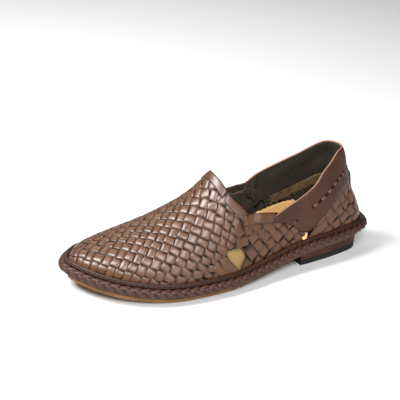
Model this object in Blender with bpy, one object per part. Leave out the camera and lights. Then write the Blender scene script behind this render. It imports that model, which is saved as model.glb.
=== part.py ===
"""Hand-woven leather slip-on shoe, left foot, as an assembly of its separate pieces.

Frame: the toe points along -X, the outer side of the foot along -Y, +Z is up, and the
origin is on the ground in the middle of the shoe. Tables and sizes are in millimetres
from the heel's back edge along the heel's axis; MM turns them into metres.
"""
import math

import bmesh
import bpy
import numpy as np

MM = 0.001
OUTER, INNER = -1, 1                # the two sides of the foot

# ---- driving sizes ----------------------------------------------------------------
LENGTH = 292.0                      # over the braided rand, heel to toe
TOE_SWING = 12.5                    # how far the toe tip bends towards the inner side
SWING_START = 120.0                 # station where that bend starts
AXIS_OFFSET = -0.6                  # offset of the heel's axis from the frame's X axis
TOE_SPRING = 10.5                   # lift of the outsole under the toe tip
FOREFOOT_FLAT = (160.0, 200.0)      # stations where the outsole lies on the ground
BREAST = 82.0                       # station of the heel's front face
HEEL_AT_BREAST = 12.0               # outsole's height above the ground at the breast
BREAST_BLEND = 1.3                  # softness of the bend there
HEEL_WEDGE = 3.0                    # further rise of the seat towards the back
OUTSOLE, MIDSOLE = 3.2, 3.0         # thicknesses
TOP_PIECE = 5.0                     # rubber under the heel
INSOLE = 3.0
WALL = 2.4                          # woven leather of the upper
BAND_WALL = 2.0                     # collar band
GAP = 0.3                           # between pieces that meet
OUTSOLE_INSET, MIDSOLE_INSET = 7.5, 6.0
HEEL_INSET = 9.5
UPPER_INSET = 7.8                   # outer face of the upper's foot
UPPER_FOOT = OUTSOLE + MIDSOLE + 2 * GAP
RAND = 6.1                          # height of the braided rand at the heel
CORD = 2.7                          # height of the welt cord on it
SWELL = (0.14, 0.13)                # how much both grow by the waist, and again by the toe
HEEL_CENTRE, HEEL_EASE = 64.0, 20.0     # where the back walls' sections meet
TOE_CENTRE, TOE_EASE = 256.0, 20.0      # where the toe's sections meet
TOE_FULLNESS = 0.50                 # how much squarer than round the toe's sections are
TOE_WALL = 0.9                      # share of the ridge's slope that its sections leave out
THROAT_START = 141.0                # station where the throat's edge starts to climb
TONGUE_PEAK = 162.5                 # station where the throat meets the ridge
BACK_LEAN = 0.20                    # extra inward lean of the back wall
RIM_UPRIGHT = 0.75                  # share of that lean lost again under the rim

# Outline over the rand: half widths from the heel's axis.
#           station  outer  inner
OUTLINE = ((10.0, 22.5, 22.5), (30.0, 30.5, 30.0), (50.0, 34.5, 33.5), (75.0, 37.5, 34.0),
           (100.0, 40.5, 31.5), (125.0, 45.0, 31.0), (150.0, 50.0, 35.0), (175.0, 53.0, 43.0),
           (200.0, 53.0, 50.5), (215.0, 51.5, 53.0), (230.0, 48.0, 54.5), (245.0, 42.0, 53.5),
           (260.0, 33.5, 49.5), (275.0, 20.0, 40.5), (287.0, 3.0, 26.0))
# Height of the last's ridge. Behind the tongue it is the unseen top of the ankle cone.
#         station  height
RIDGE = ((40.0, 128.0), (62.0, 126.0), (100.0, 118.0), (130.0, 107.0), (150.0, 98.0),
         (163.0, 88.2), (172.0, 78.6), (180.0, 71.6), (193.0, 63.5), (206.0, 57.0),
         (220.0, 50.8), (236.0, 44.2), (248.0, 39.2), (260.0, 33.5))
# Heights of the upper's edges, at feather-edge stations.
#          station  outer  inner
RIM = ((8.0, 98.0, 98.0), (25.0, 97.5, 97.5), (42.0, 92.5, 93.5), (55.0, 87.0, 88.5),
       (63.0, 82.0, 85.5), (70.0, 75.5, 83.5), (76.0, 71.5, 81.8), (88.0, 65.5, 78.5),
       (106.0, 58.5, 73.0), (118.0, 53.5, 67.0))
BAND_FOOT = ((8.0, 63.5, 63.5), (21.0, 64.0, 64.0), (34.0, 62.0, 63.0), (53.0, 52.0, 56.0),
             (72.0, 38.0, 45.0), (80.0, 32.5, 40.0), (88.0, 32.5, 39.5), (97.0, 37.0, 43.0),
             (106.0, 41.5, 48.0), (118.0, 46.0, 53.5))
SHELL_TOP = ((8.0, 80.0, 80.0), (23.0, 79.0, 79.0), (35.0, 76.5, 77.5), (48.0, 73.0, 75.5),
             (56.0, 68.0, 73.0), (65.0, 62.5, 70.5), (76.0, 58.0, 68.0), (90.0, 53.5, 65.0),
             (106.0, 50.5, 62.0), (114.0, 51.5, 61.0), (124.0, 55.5, 60.0), (135.0, 58.5, 60.0),
             (142.5, 60.0, 62.0), (149.5, 67.8, 69.5), (155.5, 74.2, 76.5), (159.0, 80.2, 81.5),
             (162.5, 87.0, 87.0))
# Corners of the diamond cut-out, seen from the side.
#                station  height
DIAMOND = ((153.0, 36.5), (147.5, 28.0), (155.5, 17.5), (168.5, 31.0), (167.0, 37.0))


# ---- smooth curves through the tables ---------------------------------------------
def spline(knots, values, closed=False):
    """A cubic spline through values at knots; a closed one repeats its first value last."""
    knots = np.asarray(knots, float)
    values = np.asarray(values, float)
    count = len(knots)
    gaps = np.diff(knots)
    system = np.zeros((count, count))
    right = np.zeros(values.shape)
    for i in range(1, count - 1):
        before, after = gaps[i - 1], gaps[i]
        system[i, i - 1:i + 2] = after, 2 * (before + after), before
        right[i] = 3 * (after * (values[i] - values[i - 1]) / before
                        + before * (values[i + 1] - values[i]) / after)
    if closed:
        before, after = gaps[-1], gaps[0]
        system[0, [count - 2, 0, 1]] = after, 2 * (before + after), before
        right[0] = 3 * (after * (values[0] - values[-2]) / before
                        + before * (values[1] - values[0]) / after)
        system[-1, [0, -1]] = 1, -1
    else:
        system[0, :2] = 2, 1
        right[0] = 3 * (values[1] - values[0]) / gaps[0]
        system[-1, -2:] = 1, 2
        right[-1] = 3 * (values[-1] - values[-2]) / gaps[-1]
    slopes = np.linalg.solve(system, right)

    def at(where):
        where = np.clip(np.asarray(where, float), knots[0], knots[-1])
        i = np.clip(np.searchsorted(knots, where, side="right") - 1, 0, count - 2)
        gap = gaps[i]
        f = (where - knots[i]) / gap
        if values.ndim > 1:
            gap, f = gap[..., None], f[..., None]
        return ((1 + 2 * f) * (1 - f) ** 2 * values[i] + f * (1 - f) ** 2 * gap * slopes[i]
                + f * f * (3 - 2 * f) * values[i + 1] + f * f * (f - 1) * gap * slopes[i + 1])
    return at


def edge_line(table):
    """A function of station and side that reads the height of an edge from its table."""
    rows = np.array(table)
    outer, inner = spline(rows[:, 0], rows[:, 1]), spline(rows[:, 0], rows[:, 2])
    return lambda station, side: outer(station) if side == OUTER else inner(station)


def smooth(x):
    x = np.clip(x, 0.0, 1.0)
    return x * x * (3 - 2 * x)


# ---- the sole's outline and the last's surface ------------------------------------
LAST_ROW = len(OUTLINE) + 1         # rows run from 0 at the heel's back to the toe tip
_points = np.array([(0.0, 0.0), *[(s, -out) for s, out, _ in OUTLINE], (LENGTH, TOE_SWING),
                    *[(s, inn) for s, _, inn in reversed(OUTLINE)], (0.0, 0.0)])
_points[:, 1] += AXIS_OFFSET
_chords = np.linalg.norm(np.diff(_points, axis=0), axis=1)
_knots = np.r_[0.0, np.cumsum(np.sqrt(_chords))]
_loop = spline(_knots, _points, closed=True)
_ridge = spline(*np.array(RIDGE).T)
rim = edge_line(RIM)
band_foot = edge_line(BAND_FOOT)
shell_top = edge_line(SHELL_TOP)


def outline(side, row, inset=0.0):
    """Station and offset of the sole's outline at a row of OUTLINE, moved inwards by inset."""
    row = np.asarray(row, float)
    place = row if side == OUTER else 2 * LAST_ROW - row
    knot = np.interp(place, np.arange(2 * LAST_ROW + 1), _knots)
    step = 0.01
    span = _knots[-1]
    ahead, behind = _loop(np.mod(knot + step, span)), _loop(np.mod(knot - step, span))
    along = ahead - behind
    inward = np.stack([-along[..., 1], along[..., 0]], -1)
    inward /= np.linalg.norm(inward, axis=-1)[..., None]
    return _loop(knot) + inset * inward


def centre(station):
    """Offset of the shoe's middle line, which bends inwards towards the toe."""
    swing = (np.clip(station - SWING_START, 0, None) / (LENGTH - SWING_START)) ** 2
    return AXIS_OFFSET + TOE_SWING * swing


def bottom(station):
    """Height of the outsole's lower face."""
    toe = np.clip((station - FOREFOOT_FLAT[1]) / (LENGTH - FOREFOOT_FLAT[1]), 0, 1)
    climb = np.clip((FOREFOOT_FLAT[0] - station) / (FOREFOOT_FLAT[0] - BREAST), 0, None)
    shank = HEEL_AT_BREAST * climb ** 1.4
    seat = HEEL_AT_BREAST + HEEL_WEDGE * (BREAST - station) / BREAST
    lower = -BREAST_BLEND * np.logaddexp(-shank / BREAST_BLEND, -seat / BREAST_BLEND)
    return TOE_SPRING * toe ** 1.7 + np.where(climb > 0, np.maximum(lower, 0), 0)


def swell(station):
    """How much larger the rand and its cord are than at the heel."""
    waist, toe = SWELL
    return 1 + waist * smooth((station - 50) / 60) + toe * smooth((station - 205) / 85)


def ease(station, stop, reach):
    """The station, brought smoothly to a halt at stop from reach before it."""
    eased = stop - (stop + reach - station) ** 2 / (4 * reach)
    return np.where(station < stop - reach, station, np.where(station > stop + reach, stop, eased))


def ridge_station(station):
    """Station on the ridge that a section from the feather edge runs up to."""
    ahead = ease(station, TOE_CENTRE, TOE_EASE)
    return -ease(-ahead, -HEEL_CENTRE, HEEL_EASE)


def feather(side, row):
    """Foot of the upper, the ridge point above it, and the pair's mean station."""
    foot, other = outline(side, row, UPPER_INSET), outline(-side, row, UPPER_INSET)
    station = (foot[..., 0] + other[..., 0]) / 2
    top = ridge_station(station)
    return foot, np.stack([top, centre(top)], -1), station


def last_point(side, row, up):
    """A point of the upper's outer face, in millimetres: up runs from 0 at its foot to 1."""
    row, up = np.broadcast_arrays(np.asarray(row, float), np.asarray(up, float))
    foot, top, station = feather(side, row)
    run = top - foot
    reach = np.linalg.norm(run, axis=-1)
    low = bottom(foot[..., 0]) + UPPER_FOOT
    slope = (_ridge(top[..., 0] + 1) - _ridge(top[..., 0] - 1)) / 2 * run[..., 0]
    slope = slope * (1 - TOE_WALL * smooth((station - 215) / 60))
    fullness = 1 + 0.75 * smooth((185 - station) / 85)
    inwards = 1 - np.cos(up * math.pi / 2) ** fullness
    crown = 1 - TOE_FULLNESS * smooth((station - 205) / 75)
    climb = np.sin(up * math.pi / 2) ** crown
    height = (_ridge(top[..., 0]) - low - slope) * climb + slope * inwards
    lean = BACK_LEAN * smooth((60 - station) / 50) * smooth((height - 8) / 42)
    lean = lean * (1 - RIM_UPRIGHT * smooth((height - 50) / 30))
    inwards = inwards + lean * (1 - inwards)
    if side == INNER:
        inwards = inwards * (1 - 0.18 * smooth((150 - station) / 30) * smooth((station - 20) / 40))
    place = foot + inwards[..., None] * run
    return np.stack([LENGTH / 2 - place[..., 0], place[..., 1], low + height], -1)


def rise(side, row, height):
    """How far up its section, from 0 to 1, the last's surface reaches a height."""
    low, high = np.zeros(np.shape(row)), np.ones(np.shape(row))
    for _ in range(24):
        middle = (low + high) / 2
        under = last_point(side, row, middle)[..., 2] < height
        low, high = np.where(under, middle, low), np.where(under, high, middle)
    return (low + high) / 2


def proud(side, row, up, by):
    """A point that stands by millimetres out of the upper's outer face."""
    step = 0.01
    here = last_point(side, row, up)
    near = np.minimum(up, 0.97)     # the sections of the toe meet at the very top
    along = (last_point(side, np.clip(row + step, 0, LAST_ROW), near)
             - last_point(side, np.clip(row - step, 0, LAST_ROW), near))
    upward = last_point(side, row, near + step) - last_point(side, row, np.maximum(near - step, 0))
    out = np.cross(along, upward) * side
    out /= np.linalg.norm(out, axis=-1)[..., None]
    return here + np.asarray(by)[..., None] * out


# ---- mesh helpers -----------------------------------------------------------------
def material(name, color, roughness):
    made = bpy.data.materials.new(name)
    made.use_nodes = True
    shader = made.node_tree.nodes["Principled BSDF"]
    shader.inputs["Base Color"].default_value = (*color, 1.0)
    shader.inputs["Roughness"].default_value = roughness
    shader.inputs["Metallic"].default_value = 0.0
    return made


def finish(name, bm, look):
    """Turns a bmesh in millimetres into a named object in metres."""
    bmesh.ops.remove_doubles(bm, verts=bm.verts, dist=0.001)
    bmesh.ops.recalc_face_normals(bm, faces=bm.faces)
    bmesh.ops.scale(bm, vec=(MM, MM, MM), verts=bm.verts)
    mesh = bpy.data.meshes.new(name)
    bm.to_mesh(mesh)
    bm.free()
    mesh.shade_smooth()
    mesh.set_sharp_from_angle(angle=math.radians(40))
    mesh.materials.append(look)
    made = bpy.data.objects.new(name, mesh)
    bpy.context.scene.collection.objects.link(made)
    return made


def add_grid(bm, points, close=False):
    """Quads over a grid of points: rows of columns, the columns closed in a ring or not."""
    verts = [[bm.verts.new(p) for p in line] for line in points]
    lines = len(verts)
    for i in range(lines if close else lines - 1):
        for a, b, c, d in zip(verts[i], verts[i][1:], verts[(i + 1) % lines][1:],
                              verts[(i + 1) % lines]):
            bm.faces.new((a, b, c, d))
    return verts


def ring_rows(per_row):
    """Rows all the way round the shoe, as side and row: out along OUTER, back along INNER."""
    steps = np.linspace(0, LAST_ROW, LAST_ROW * per_row + 1)
    return [(OUTER, r) for r in steps[:-1]] + [(INNER, r) for r in steps[:0:-1]]


def add_ring(name, profile, look, per_row=3):
    """A closed ring round the shoe whose section is a profile of (inset, height) corners.

    Heights are over the upper's foot, and grow with swell(). A corner whose inset is None
    lies against the upper's outer face.
    """
    bm = bmesh.new()
    loops = []
    for side, row in ring_rows(per_row):
        section = []
        for inset, height in (*profile, profile[0]):
            station, offset = outline(side, row, UPPER_INSET if inset is None else inset)
            level = bottom(station) + UPPER_FOOT + height * swell(station)
            if inset is None:
                section.append(proud(side, row, rise(side, row, level), 2 * GAP))
            else:
                section.append((LENGTH / 2 - station, offset, level))
        loops.append(section)
    add_grid(bm, loops, close=True)
    return finish(name, bm, look)


def add_plate(name, inset, low, high, look, rows, per_row=3):
    """A plate inside the outline: low and high give the heights of its faces by station."""
    bm = bmesh.new()
    loops = []
    for row in np.linspace(rows[0], rows[1], int(round((rows[1] - rows[0]) * per_row)) + 1):
        out, inn = outline(OUTER, row, inset), outline(INNER, row, inset)
        corners = [out + (inn - out) * f for f in (0, 1 / 3, 2 / 3, 1)]
        under = [(LENGTH / 2 - s, y, float(low(s))) for s, y in corners]
        over = [(LENGTH / 2 - s, y, float(high(s))) for s, y in corners]
        loops.append([*under, *reversed(over), under[0]])
    verts = add_grid(bm, loops)
    for line in (verts[0], verts[-1]):
        for k in range(3):
            quad = (line[k], line[k + 1], line[6 - k], line[7 - k])
            bm.faces.new(quad)
    bmesh.ops.remove_doubles(bm, verts=bm.verts, dist=0.001)
    bmesh.ops.dissolve_degenerate(bm, edges=bm.edges, dist=0.001)
    return finish(name, bm, look)


def solidify(made, thickness, outwards):
    """Gives a sheet its wall, kept as a live modifier."""
    wall = made.modifiers.new("wall", "SOLIDIFY")
    wall.thickness = thickness * MM
    wall.offset = 1.0 if outwards else -1.0
    wall.use_even_offset = True
    wall.use_quality_normals = True
    return made


def face_outwards(bm):
    """Turns a sheet's faces away from the shoe's middle."""
    total = sum((f.normal.y * f.calc_center_median().y + 0.2 * f.normal.z) for f in bm.faces)
    if total < 0:
        bmesh.ops.reverse_faces(bm, faces=bm.faces)


# ---- pieces -----------------------------------------------------------------------
def sheet_rows(start, end, per_row, dense=()):
    """Rows from start to end, with more of them inside the dense span."""
    steps = list(np.linspace(start, end, int(round((end - start) * per_row)) + 1))
    if dense:
        steps = [r for r in steps if not dense[0] < r < dense[1]]
        steps += list(np.linspace(dense[0], dense[1], int((dense[1] - dense[0]) * per_row * 5)))
    return sorted(set(np.round(steps, 6)))


def row_at(station):
    """The row whose feather edge has this mean station."""
    rows = np.linspace(0, LAST_ROW, 600)
    return float(np.interp(station, feather(OUTER, rows)[2], rows))


def add_sheet(name, sides, low, high, by, levels, look):
    """A sheet on the last between two edges, low and high, that stands by out of it.

    sides lists (side, rows); low and high give how far up each section the edges are.
    """
    bm = bmesh.new()
    for side, rows in sides:
        loops = []
        for row in rows:
            ups = np.linspace(low(side, row), high(side, row), levels)
            loops.append(proud(side, np.full(levels, row), ups, np.full(levels, by)))
        add_grid(bm, loops)
    bmesh.ops.remove_doubles(bm, verts=bm.verts, dist=0.02)
    bmesh.ops.dissolve_degenerate(bm, edges=bm.edges, dist=0.001)
    bmesh.ops.recalc_face_normals(bm, faces=bm.faces)
    face_outwards(bm)
    bmesh.ops.scale(bm, vec=(MM, MM, MM), verts=bm.verts)
    mesh = bpy.data.meshes.new(name)
    bm.to_mesh(mesh)
    bm.free()
    mesh.shade_smooth()
    mesh.materials.append(look)
    made = bpy.data.objects.new(name, mesh)
    bpy.context.scene.collection.objects.link(made)
    return made


def edge_up(line):
    """Turns an edge's height line into how far up its section each row reaches."""
    return lambda side, row: float(rise(side, row, line(feather(side, row)[2], side)))


def add_upper(look):
    """The close-woven vamp, sides and counter: one hollow wall, open at collar and throat."""
    throat, peak = row_at(THROAT_START), row_at(TONGUE_PEAK)
    reach = edge_up(shell_top)
    rows = sheet_rows(0, LAST_ROW, 3, dense=(throat, peak))
    upper = add_sheet("upper", [(OUTER, rows), (INNER, rows)], lambda side, row: 0.0,
                      lambda side, row: 1.0 if row >= peak - 1e-4 else reach(side, row),
                      0.0, 12, look)
    solidify(upper, WALL, outwards=False)
    cut = upper.modifiers.new("cut_outs", "BOOLEAN")
    cut.operation = "DIFFERENCE"
    cut.solver = "EXACT"
    cut.object = add_diamond_cutter(look)
    return upper


def add_diamond_cutter(look):
    """A prism across the shoe that opens the diamond in both walls."""
    bm = bmesh.new()
    half_width = 80.0
    loops = [[(LENGTH / 2 - s, y, z) for s, z in DIAMOND] for y in (-half_width, half_width)]
    front, back = ([bm.verts.new(p) for p in loop] for loop in loops)
    bm.faces.new(front)
    bm.faces.new(back)
    count = len(DIAMOND)
    for i in range(count):
        j = (i + 1) % count
        bm.faces.new((front[i], front[j], back[j], back[i]))
    cutter = finish("diamond_cutter", bm, look)
    cutter.hide_render = True
    cutter.display_type = "WIRE"
    return cutter


def add_band(look):
    """The smooth collar band, standing just off the woven wall and up to the rim."""
    rows = sheet_rows(0, row_at(RIM[-1][0]), 4)
    band = add_sheet("collar_band", [(OUTER, rows), (INNER, rows)], edge_up(band_foot),
                     edge_up(rim), GAP, 7, look)
    return solidify(band, BAND_WALL, outwards=True)


def add_back_strap(look):
    """The strap up the centre of the back, bowed out over the band's lower edge."""
    half_width, wall, levels = 4.0, 1.4, 12
    sag = 0.25                      # how far its edges fall back round the heel
    bow, bow_at, bow_reach = 2.2, 68.0, 5.5
    cord_top = float(bottom(0.0)) + UPPER_FOOT + RAND + CORD + 2 * GAP
    heights = np.linspace(cord_top, 79.0, levels)
    over_band = GAP + BAND_WALL + GAP
    stand = GAP + (over_band - GAP) * smooth((heights - 52) / 9)
    stand = stand + bow * np.exp(-((heights - bow_at) / bow_reach) ** 2)
    ups = rise(OUTER, np.zeros(levels), heights)
    middle = proud(OUTER, np.zeros(levels), ups, stand)
    bm = bmesh.new()
    loops = []
    for across in (-half_width, half_width):
        loops.append([(x - sag, AXIS_OFFSET + across, z) for x, _, z in middle])
    loops.insert(1, [(x, AXIS_OFFSET, z) for x, _, z in middle])
    add_grid(bm, loops)
    bmesh.ops.recalc_face_normals(bm, faces=bm.faces)
    if sum(f.normal.x for f in bm.faces) < 0:
        bmesh.ops.reverse_faces(bm, faces=bm.faces)
    bmesh.ops.scale(bm, vec=(MM, MM, MM), verts=bm.verts)
    mesh = bpy.data.meshes.new("back_strap")
    bm.to_mesh(mesh)
    bm.free()
    mesh.shade_smooth()
    mesh.materials.append(look)
    strap = bpy.data.objects.new("back_strap", mesh)
    bpy.context.scene.collection.objects.link(strap)
    return solidify(strap, wall, outwards=True)


def build():
    for old in list(bpy.data.objects):
        bpy.data.objects.remove(old)
    woven = material("woven_leather", (0.16, 0.075, 0.045), 0.45)
    band = material("band_leather", (0.17, 0.08, 0.048), 0.42)
    braid = material("braid_leather", (0.14, 0.065, 0.042), 0.5)
    tan = material("sole_leather", (0.42, 0.23, 0.10), 0.55)
    brown = material("midsole_leather", (0.10, 0.055, 0.035), 0.55)
    stack = material("heel_leather", (0.20, 0.08, 0.045), 0.5)
    rubber = material("heel_rubber", (0.012, 0.012, 0.012), 0.7)
    lining = material("insole_leather", (0.62, 0.38, 0.14), 0.55)

    whole = (0, LAST_ROW)
    add_plate("outsole", OUTSOLE_INSET, bottom, lambda s: bottom(s) + OUTSOLE, tan, whole)
    add_plate("midsole", MIDSOLE_INSET, lambda s: bottom(s) + OUTSOLE + GAP,
              lambda s: bottom(s) + OUTSOLE + GAP + MIDSOLE, brown, whole)
    add_upper(woven)
    add_plate("insole", UPPER_INSET + WALL + 4 * GAP, lambda s: bottom(s) + UPPER_FOOT,
              lambda s: bottom(s) + UPPER_FOOT + INSOLE, lining, whole)
    add_band(band)
    add_back_strap(band)
    seat = UPPER_INSET - GAP - 0.1
    add_ring("braided_rand", ((seat, 0.0), (1.8, 0.0), (0.5, 0.9), (0.0, 2.5), (0.6, 4.3),
                              (2.4, 5.6), (4.6, RAND), (None, RAND), (None, 0.6 * RAND),
                              (None, 0.25 * RAND)), braid)
    cord = RAND + GAP
    add_ring("welt_cord", ((None, cord), (4.6, cord), (4.1, cord + 1.2), (4.7, cord + 2.3),
                           (6.0, cord + CORD), (None, cord + 2.4),
                           (None, cord + 1.2)), braid)
    heel_row = row_at(BREAST)
    add_plate("heel_stack", HEEL_INSET, lambda s: TOP_PIECE + GAP + 0 * s,
              lambda s: bottom(s) - GAP, stack, (0, heel_row))
    add_plate("heel_top_piece", HEEL_INSET, lambda s: 0 * s, lambda s: TOP_PIECE + 0 * s,
              rubber, (0, heel_row))


build()
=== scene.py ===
"""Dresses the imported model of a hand-woven leather slip-on, left foot, for a product view.

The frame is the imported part's own: toe along -X, outer side along -Y, +Z up, metres. The
last's surface is worked out in millimetres, from the heel's back edge along the shoe.
"""
import math

import bmesh
import bpy
import numpy as np
from bpy.props import FloatProperty, FloatVectorProperty, PointerProperty
from mathutils import Matrix, Vector
from mathutils.bvhtree import BVHTree


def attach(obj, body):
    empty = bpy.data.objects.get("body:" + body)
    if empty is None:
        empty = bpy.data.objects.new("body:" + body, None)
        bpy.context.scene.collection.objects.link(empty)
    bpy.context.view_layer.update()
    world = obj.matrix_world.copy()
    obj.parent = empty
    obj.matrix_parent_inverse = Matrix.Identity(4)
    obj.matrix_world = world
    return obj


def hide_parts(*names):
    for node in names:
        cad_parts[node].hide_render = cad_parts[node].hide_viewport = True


bl_info = {
    "name": "Hand-woven slip-on",
    "version": (1, 0, 0),
    "blender": (4, 5, 0),
    "location": "View3D > Sidebar > Woven shoe",
    "description": "Woven straps, collar band, braid and sole finishes for a leather slip-on",
    "category": "Object",
}

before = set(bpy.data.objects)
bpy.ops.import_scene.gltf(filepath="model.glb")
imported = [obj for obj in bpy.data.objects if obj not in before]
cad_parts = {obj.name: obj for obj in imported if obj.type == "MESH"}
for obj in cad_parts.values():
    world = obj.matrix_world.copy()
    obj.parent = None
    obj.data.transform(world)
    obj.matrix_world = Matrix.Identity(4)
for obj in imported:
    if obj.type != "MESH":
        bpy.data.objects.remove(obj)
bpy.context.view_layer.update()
MM = 0.001
OUTER, INNER = -1, 1

# ---- the last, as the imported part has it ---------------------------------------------
# All in mm. A station is a distance from the heel's back edge along the shoe.
LENGTH, TOE_SWING, SWING_START, AXIS_OFFSET = 292.0, 12.5, 120.0, -0.6
TOE_SPRING, FOREFOOT_FLAT = 10.5, (160.0, 200.0)
BREAST, HEEL_AT_BREAST, BREAST_BLEND, HEEL_WEDGE = 82.0, 12.0, 1.3, 3.0
UPPER_INSET, UPPER_FOOT = 7.8, 6.8
RAND, CORD, SWELL = 6.1, 2.7, (0.14, 0.13)
HEEL_CENTRE, HEEL_EASE, TOE_CENTRE, TOE_EASE = 64.0, 20.0, 256.0, 20.0
TOE_FULLNESS, TOE_WALL, BACK_FULLNESS = 0.50, 0.9, 0.75
BACK_LEAN, RIM_UPRIGHT, WAIST_OUT = 0.20, 0.75, 0.18
#           station  outer  inner
OUTLINE = ((10, 22.5, 22.5), (30, 30.5, 30), (50, 34.5, 33.5), (75, 37.5, 34),
           (100, 40.5, 31.5), (125, 45, 31), (150, 50, 35), (175, 53, 43), (200, 53, 50.5),
           (215, 51.5, 53), (230, 48, 54.5), (245, 42, 53.5), (260, 33.5, 49.5),
           (275, 20, 40.5), (287, 3, 26))
#        station  height: the forepart's ridge, carried on back over the opening
RIDGE = ((40, 128), (62, 126), (100, 118), (130, 107), (150, 98), (163, 88.2), (172, 78.6),
         (180, 71.6), (193, 63.5), (206, 57), (220, 50.8), (236, 44.2), (248, 39.2),
         (260, 33.5))
#       station  outer  inner: heights of the band's two edges and of the woven wall's top
RIM = ((8, 98, 98), (25, 97.5, 97.5), (42, 92.5, 93.5), (55, 87, 88.5), (63, 82, 85.5),
       (70, 75.5, 83.5), (76, 71.5, 81.8), (88, 65.5, 78.5), (106, 58.5, 73), (118, 53.5, 67))
BAND_FOOT = ((8, 63.5, 63.5), (21, 64, 64), (34, 62, 63), (53, 52, 56), (72, 38, 45),
             (80, 32.5, 40), (88, 32.5, 39.5), (97, 37, 43), (106, 41.5, 48), (118, 46, 53.5))
SHELL_TOP = ((8, 80, 80), (23, 79, 79), (35, 76.5, 77.5), (48, 73, 75.5), (56, 68, 73),
             (65, 62.5, 70.5), (76, 58, 68), (90, 53.5, 65), (106, 50.5, 62), (114, 51.5, 61),
             (124, 55.5, 60), (135, 58.5, 60), (142.5, 60, 62), (149.5, 67.8, 69.5),
             (155.5, 74.2, 76.5), (159, 80.2, 81.5), (162.5, 87, 87))

# ---- the straps ----------------------------------------------------------------------
RELIEF = 0.95                       # how far a strap swings over and under its neighbours
BED = -0.45                         # mean height of the weave over the last's surface
# The vamp's two families of straps on the vamp laid flat, x along the ridge and y across.
# Strap edge k runs along x = crossing + slope y + bend y^2.
#            edge   crossing  slope   bend on the outer side
LEFT_RUN = ((-16, 49.5, 0.75, 0.0), (-9, 128.2, 0.75, 0.0), (-6, 161.4, 0.92, 0.0),
            (-3, 195.8, 1.03, -0.0012), (0, 221.5, 0.62, -0.0077), (2, 243.5, 0.53, -0.0085),
            (7, 298.0, 0.50, -0.0085))
RIGHT_RUN = ((-12, 318.0, -1.38, 0.0), (-3, 216.4, -1.38, 0.0), (0, 175.4, -1.40, 0.0),
             (3, 141.2, -1.26, 0.0), (5, 123.1, -0.70, 0.0068), (7, 107.1, -0.20, 0.0090),
             (12, 57.0, 0.60, 0.0120))
INNER_BEND = 0.003


def spline(knots, values, closed=False):
    """A cubic spline through values at knots; a closed one repeats its first value last."""
    knots = np.asarray(knots, float)
    values = np.asarray(values, float)
    count = len(knots)
    gaps = np.diff(knots)
    system = np.zeros((count, count))
    right = np.zeros(values.shape)
    for i in range(1, count - 1):
        before, after = gaps[i - 1], gaps[i]
        system[i, i - 1:i + 2] = after, 2 * (before + after), before
        right[i] = 3 * (after * (values[i] - values[i - 1]) / before
                        + before * (values[i + 1] - values[i]) / after)
    if closed:
        before, after = gaps[-1], gaps[0]
        system[0, [count - 2, 0, 1]] = after, 2 * (before + after), before
        right[0] = 3 * (after * (values[0] - values[-2]) / before
                        + before * (values[1] - values[0]) / after)
        system[-1, [0, -1]] = 1, -1
    else:
        system[0, :2] = 2, 1
        right[0] = 3 * (values[1] - values[0]) / gaps[0]
        system[-1, -2:] = 1, 2
        right[-1] = 3 * (values[-1] - values[-2]) / gaps[-1]
    slopes = np.linalg.solve(system, right)

    def at(where):
        where = np.clip(np.asarray(where, float), knots[0], knots[-1])
        i = np.clip(np.searchsorted(knots, where, side="right") - 1, 0, count - 2)
        gap = gaps[i]
        f = (where - knots[i]) / gap
        if values.ndim > 1:
            gap, f = gap[..., None], f[..., None]
        return ((1 + 2 * f) * (1 - f) ** 2 * values[i] + f * (1 - f) ** 2 * gap * slopes[i]
                + f * f * (3 - 2 * f) * values[i + 1] + f * f * (f - 1) * gap * slopes[i + 1])
    return at


def edge_line(table):
    """A function of station and side that reads the height of an edge from its table."""
    rows = np.array(table)
    outer, inner = spline(rows[:, 0], rows[:, 1]), spline(rows[:, 0], rows[:, 2])
    return lambda station, side: outer(station) if side == OUTER else inner(station)


def smooth(x):
    """0 below 0, 1 above 1, and an even S between.

    So smooth((x - start) / reach) grows from start on, over reach, and smooth((stop - x) / reach)
    has faded at stop.
    """
    x = np.clip(x, 0.0, 1.0)
    return x * x * (3 - 2 * x)


def walk(line):
    """How far along a line of points each of them lies."""
    return np.r_[0.0, np.cumsum(np.linalg.norm(np.diff(line, axis=0), axis=1))]


def unit(vectors):
    """The vectors brought to length 1."""
    return vectors / np.linalg.norm(vectors, axis=-1)[..., None]


def left(vectors):
    """Flat vectors turned a quarter to the left."""
    return np.stack([-vectors[..., 1], vectors[..., 0]], -1)


def turn(first, second):
    """The flat cross product of two arrays of vectors."""
    return first[..., 0] * second[..., 1] - first[..., 1] * second[..., 0]


def divisor(value, least=1e-9):
    """The value, kept off nought."""
    return np.where(np.abs(value) < least, least, value)


LAST_ROW = len(OUTLINE) + 1         # rows run from 0 at the heel's back to the toe tip
LOOP_ROWS = 2 * LAST_ROW            # and on round the inner side to the back again
loop_points = np.array([(0.0, 0.0), *[(s, -out) for s, out, _ in OUTLINE], (LENGTH, TOE_SWING),
                        *[(s, inn) for s, _, inn in reversed(OUTLINE)], (0.0, 0.0)])
loop_points[:, 1] += AXIS_OFFSET
loop_knots = np.r_[0.0, np.cumsum(np.sqrt(np.linalg.norm(np.diff(loop_points, axis=0), axis=1)))]
sole_loop = spline(loop_knots, loop_points, closed=True)
ridge_height = spline(*np.array(RIDGE).T)
rim = edge_line(RIM)
band_foot = edge_line(BAND_FOOT)
shell_top = edge_line(SHELL_TOP)


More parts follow.
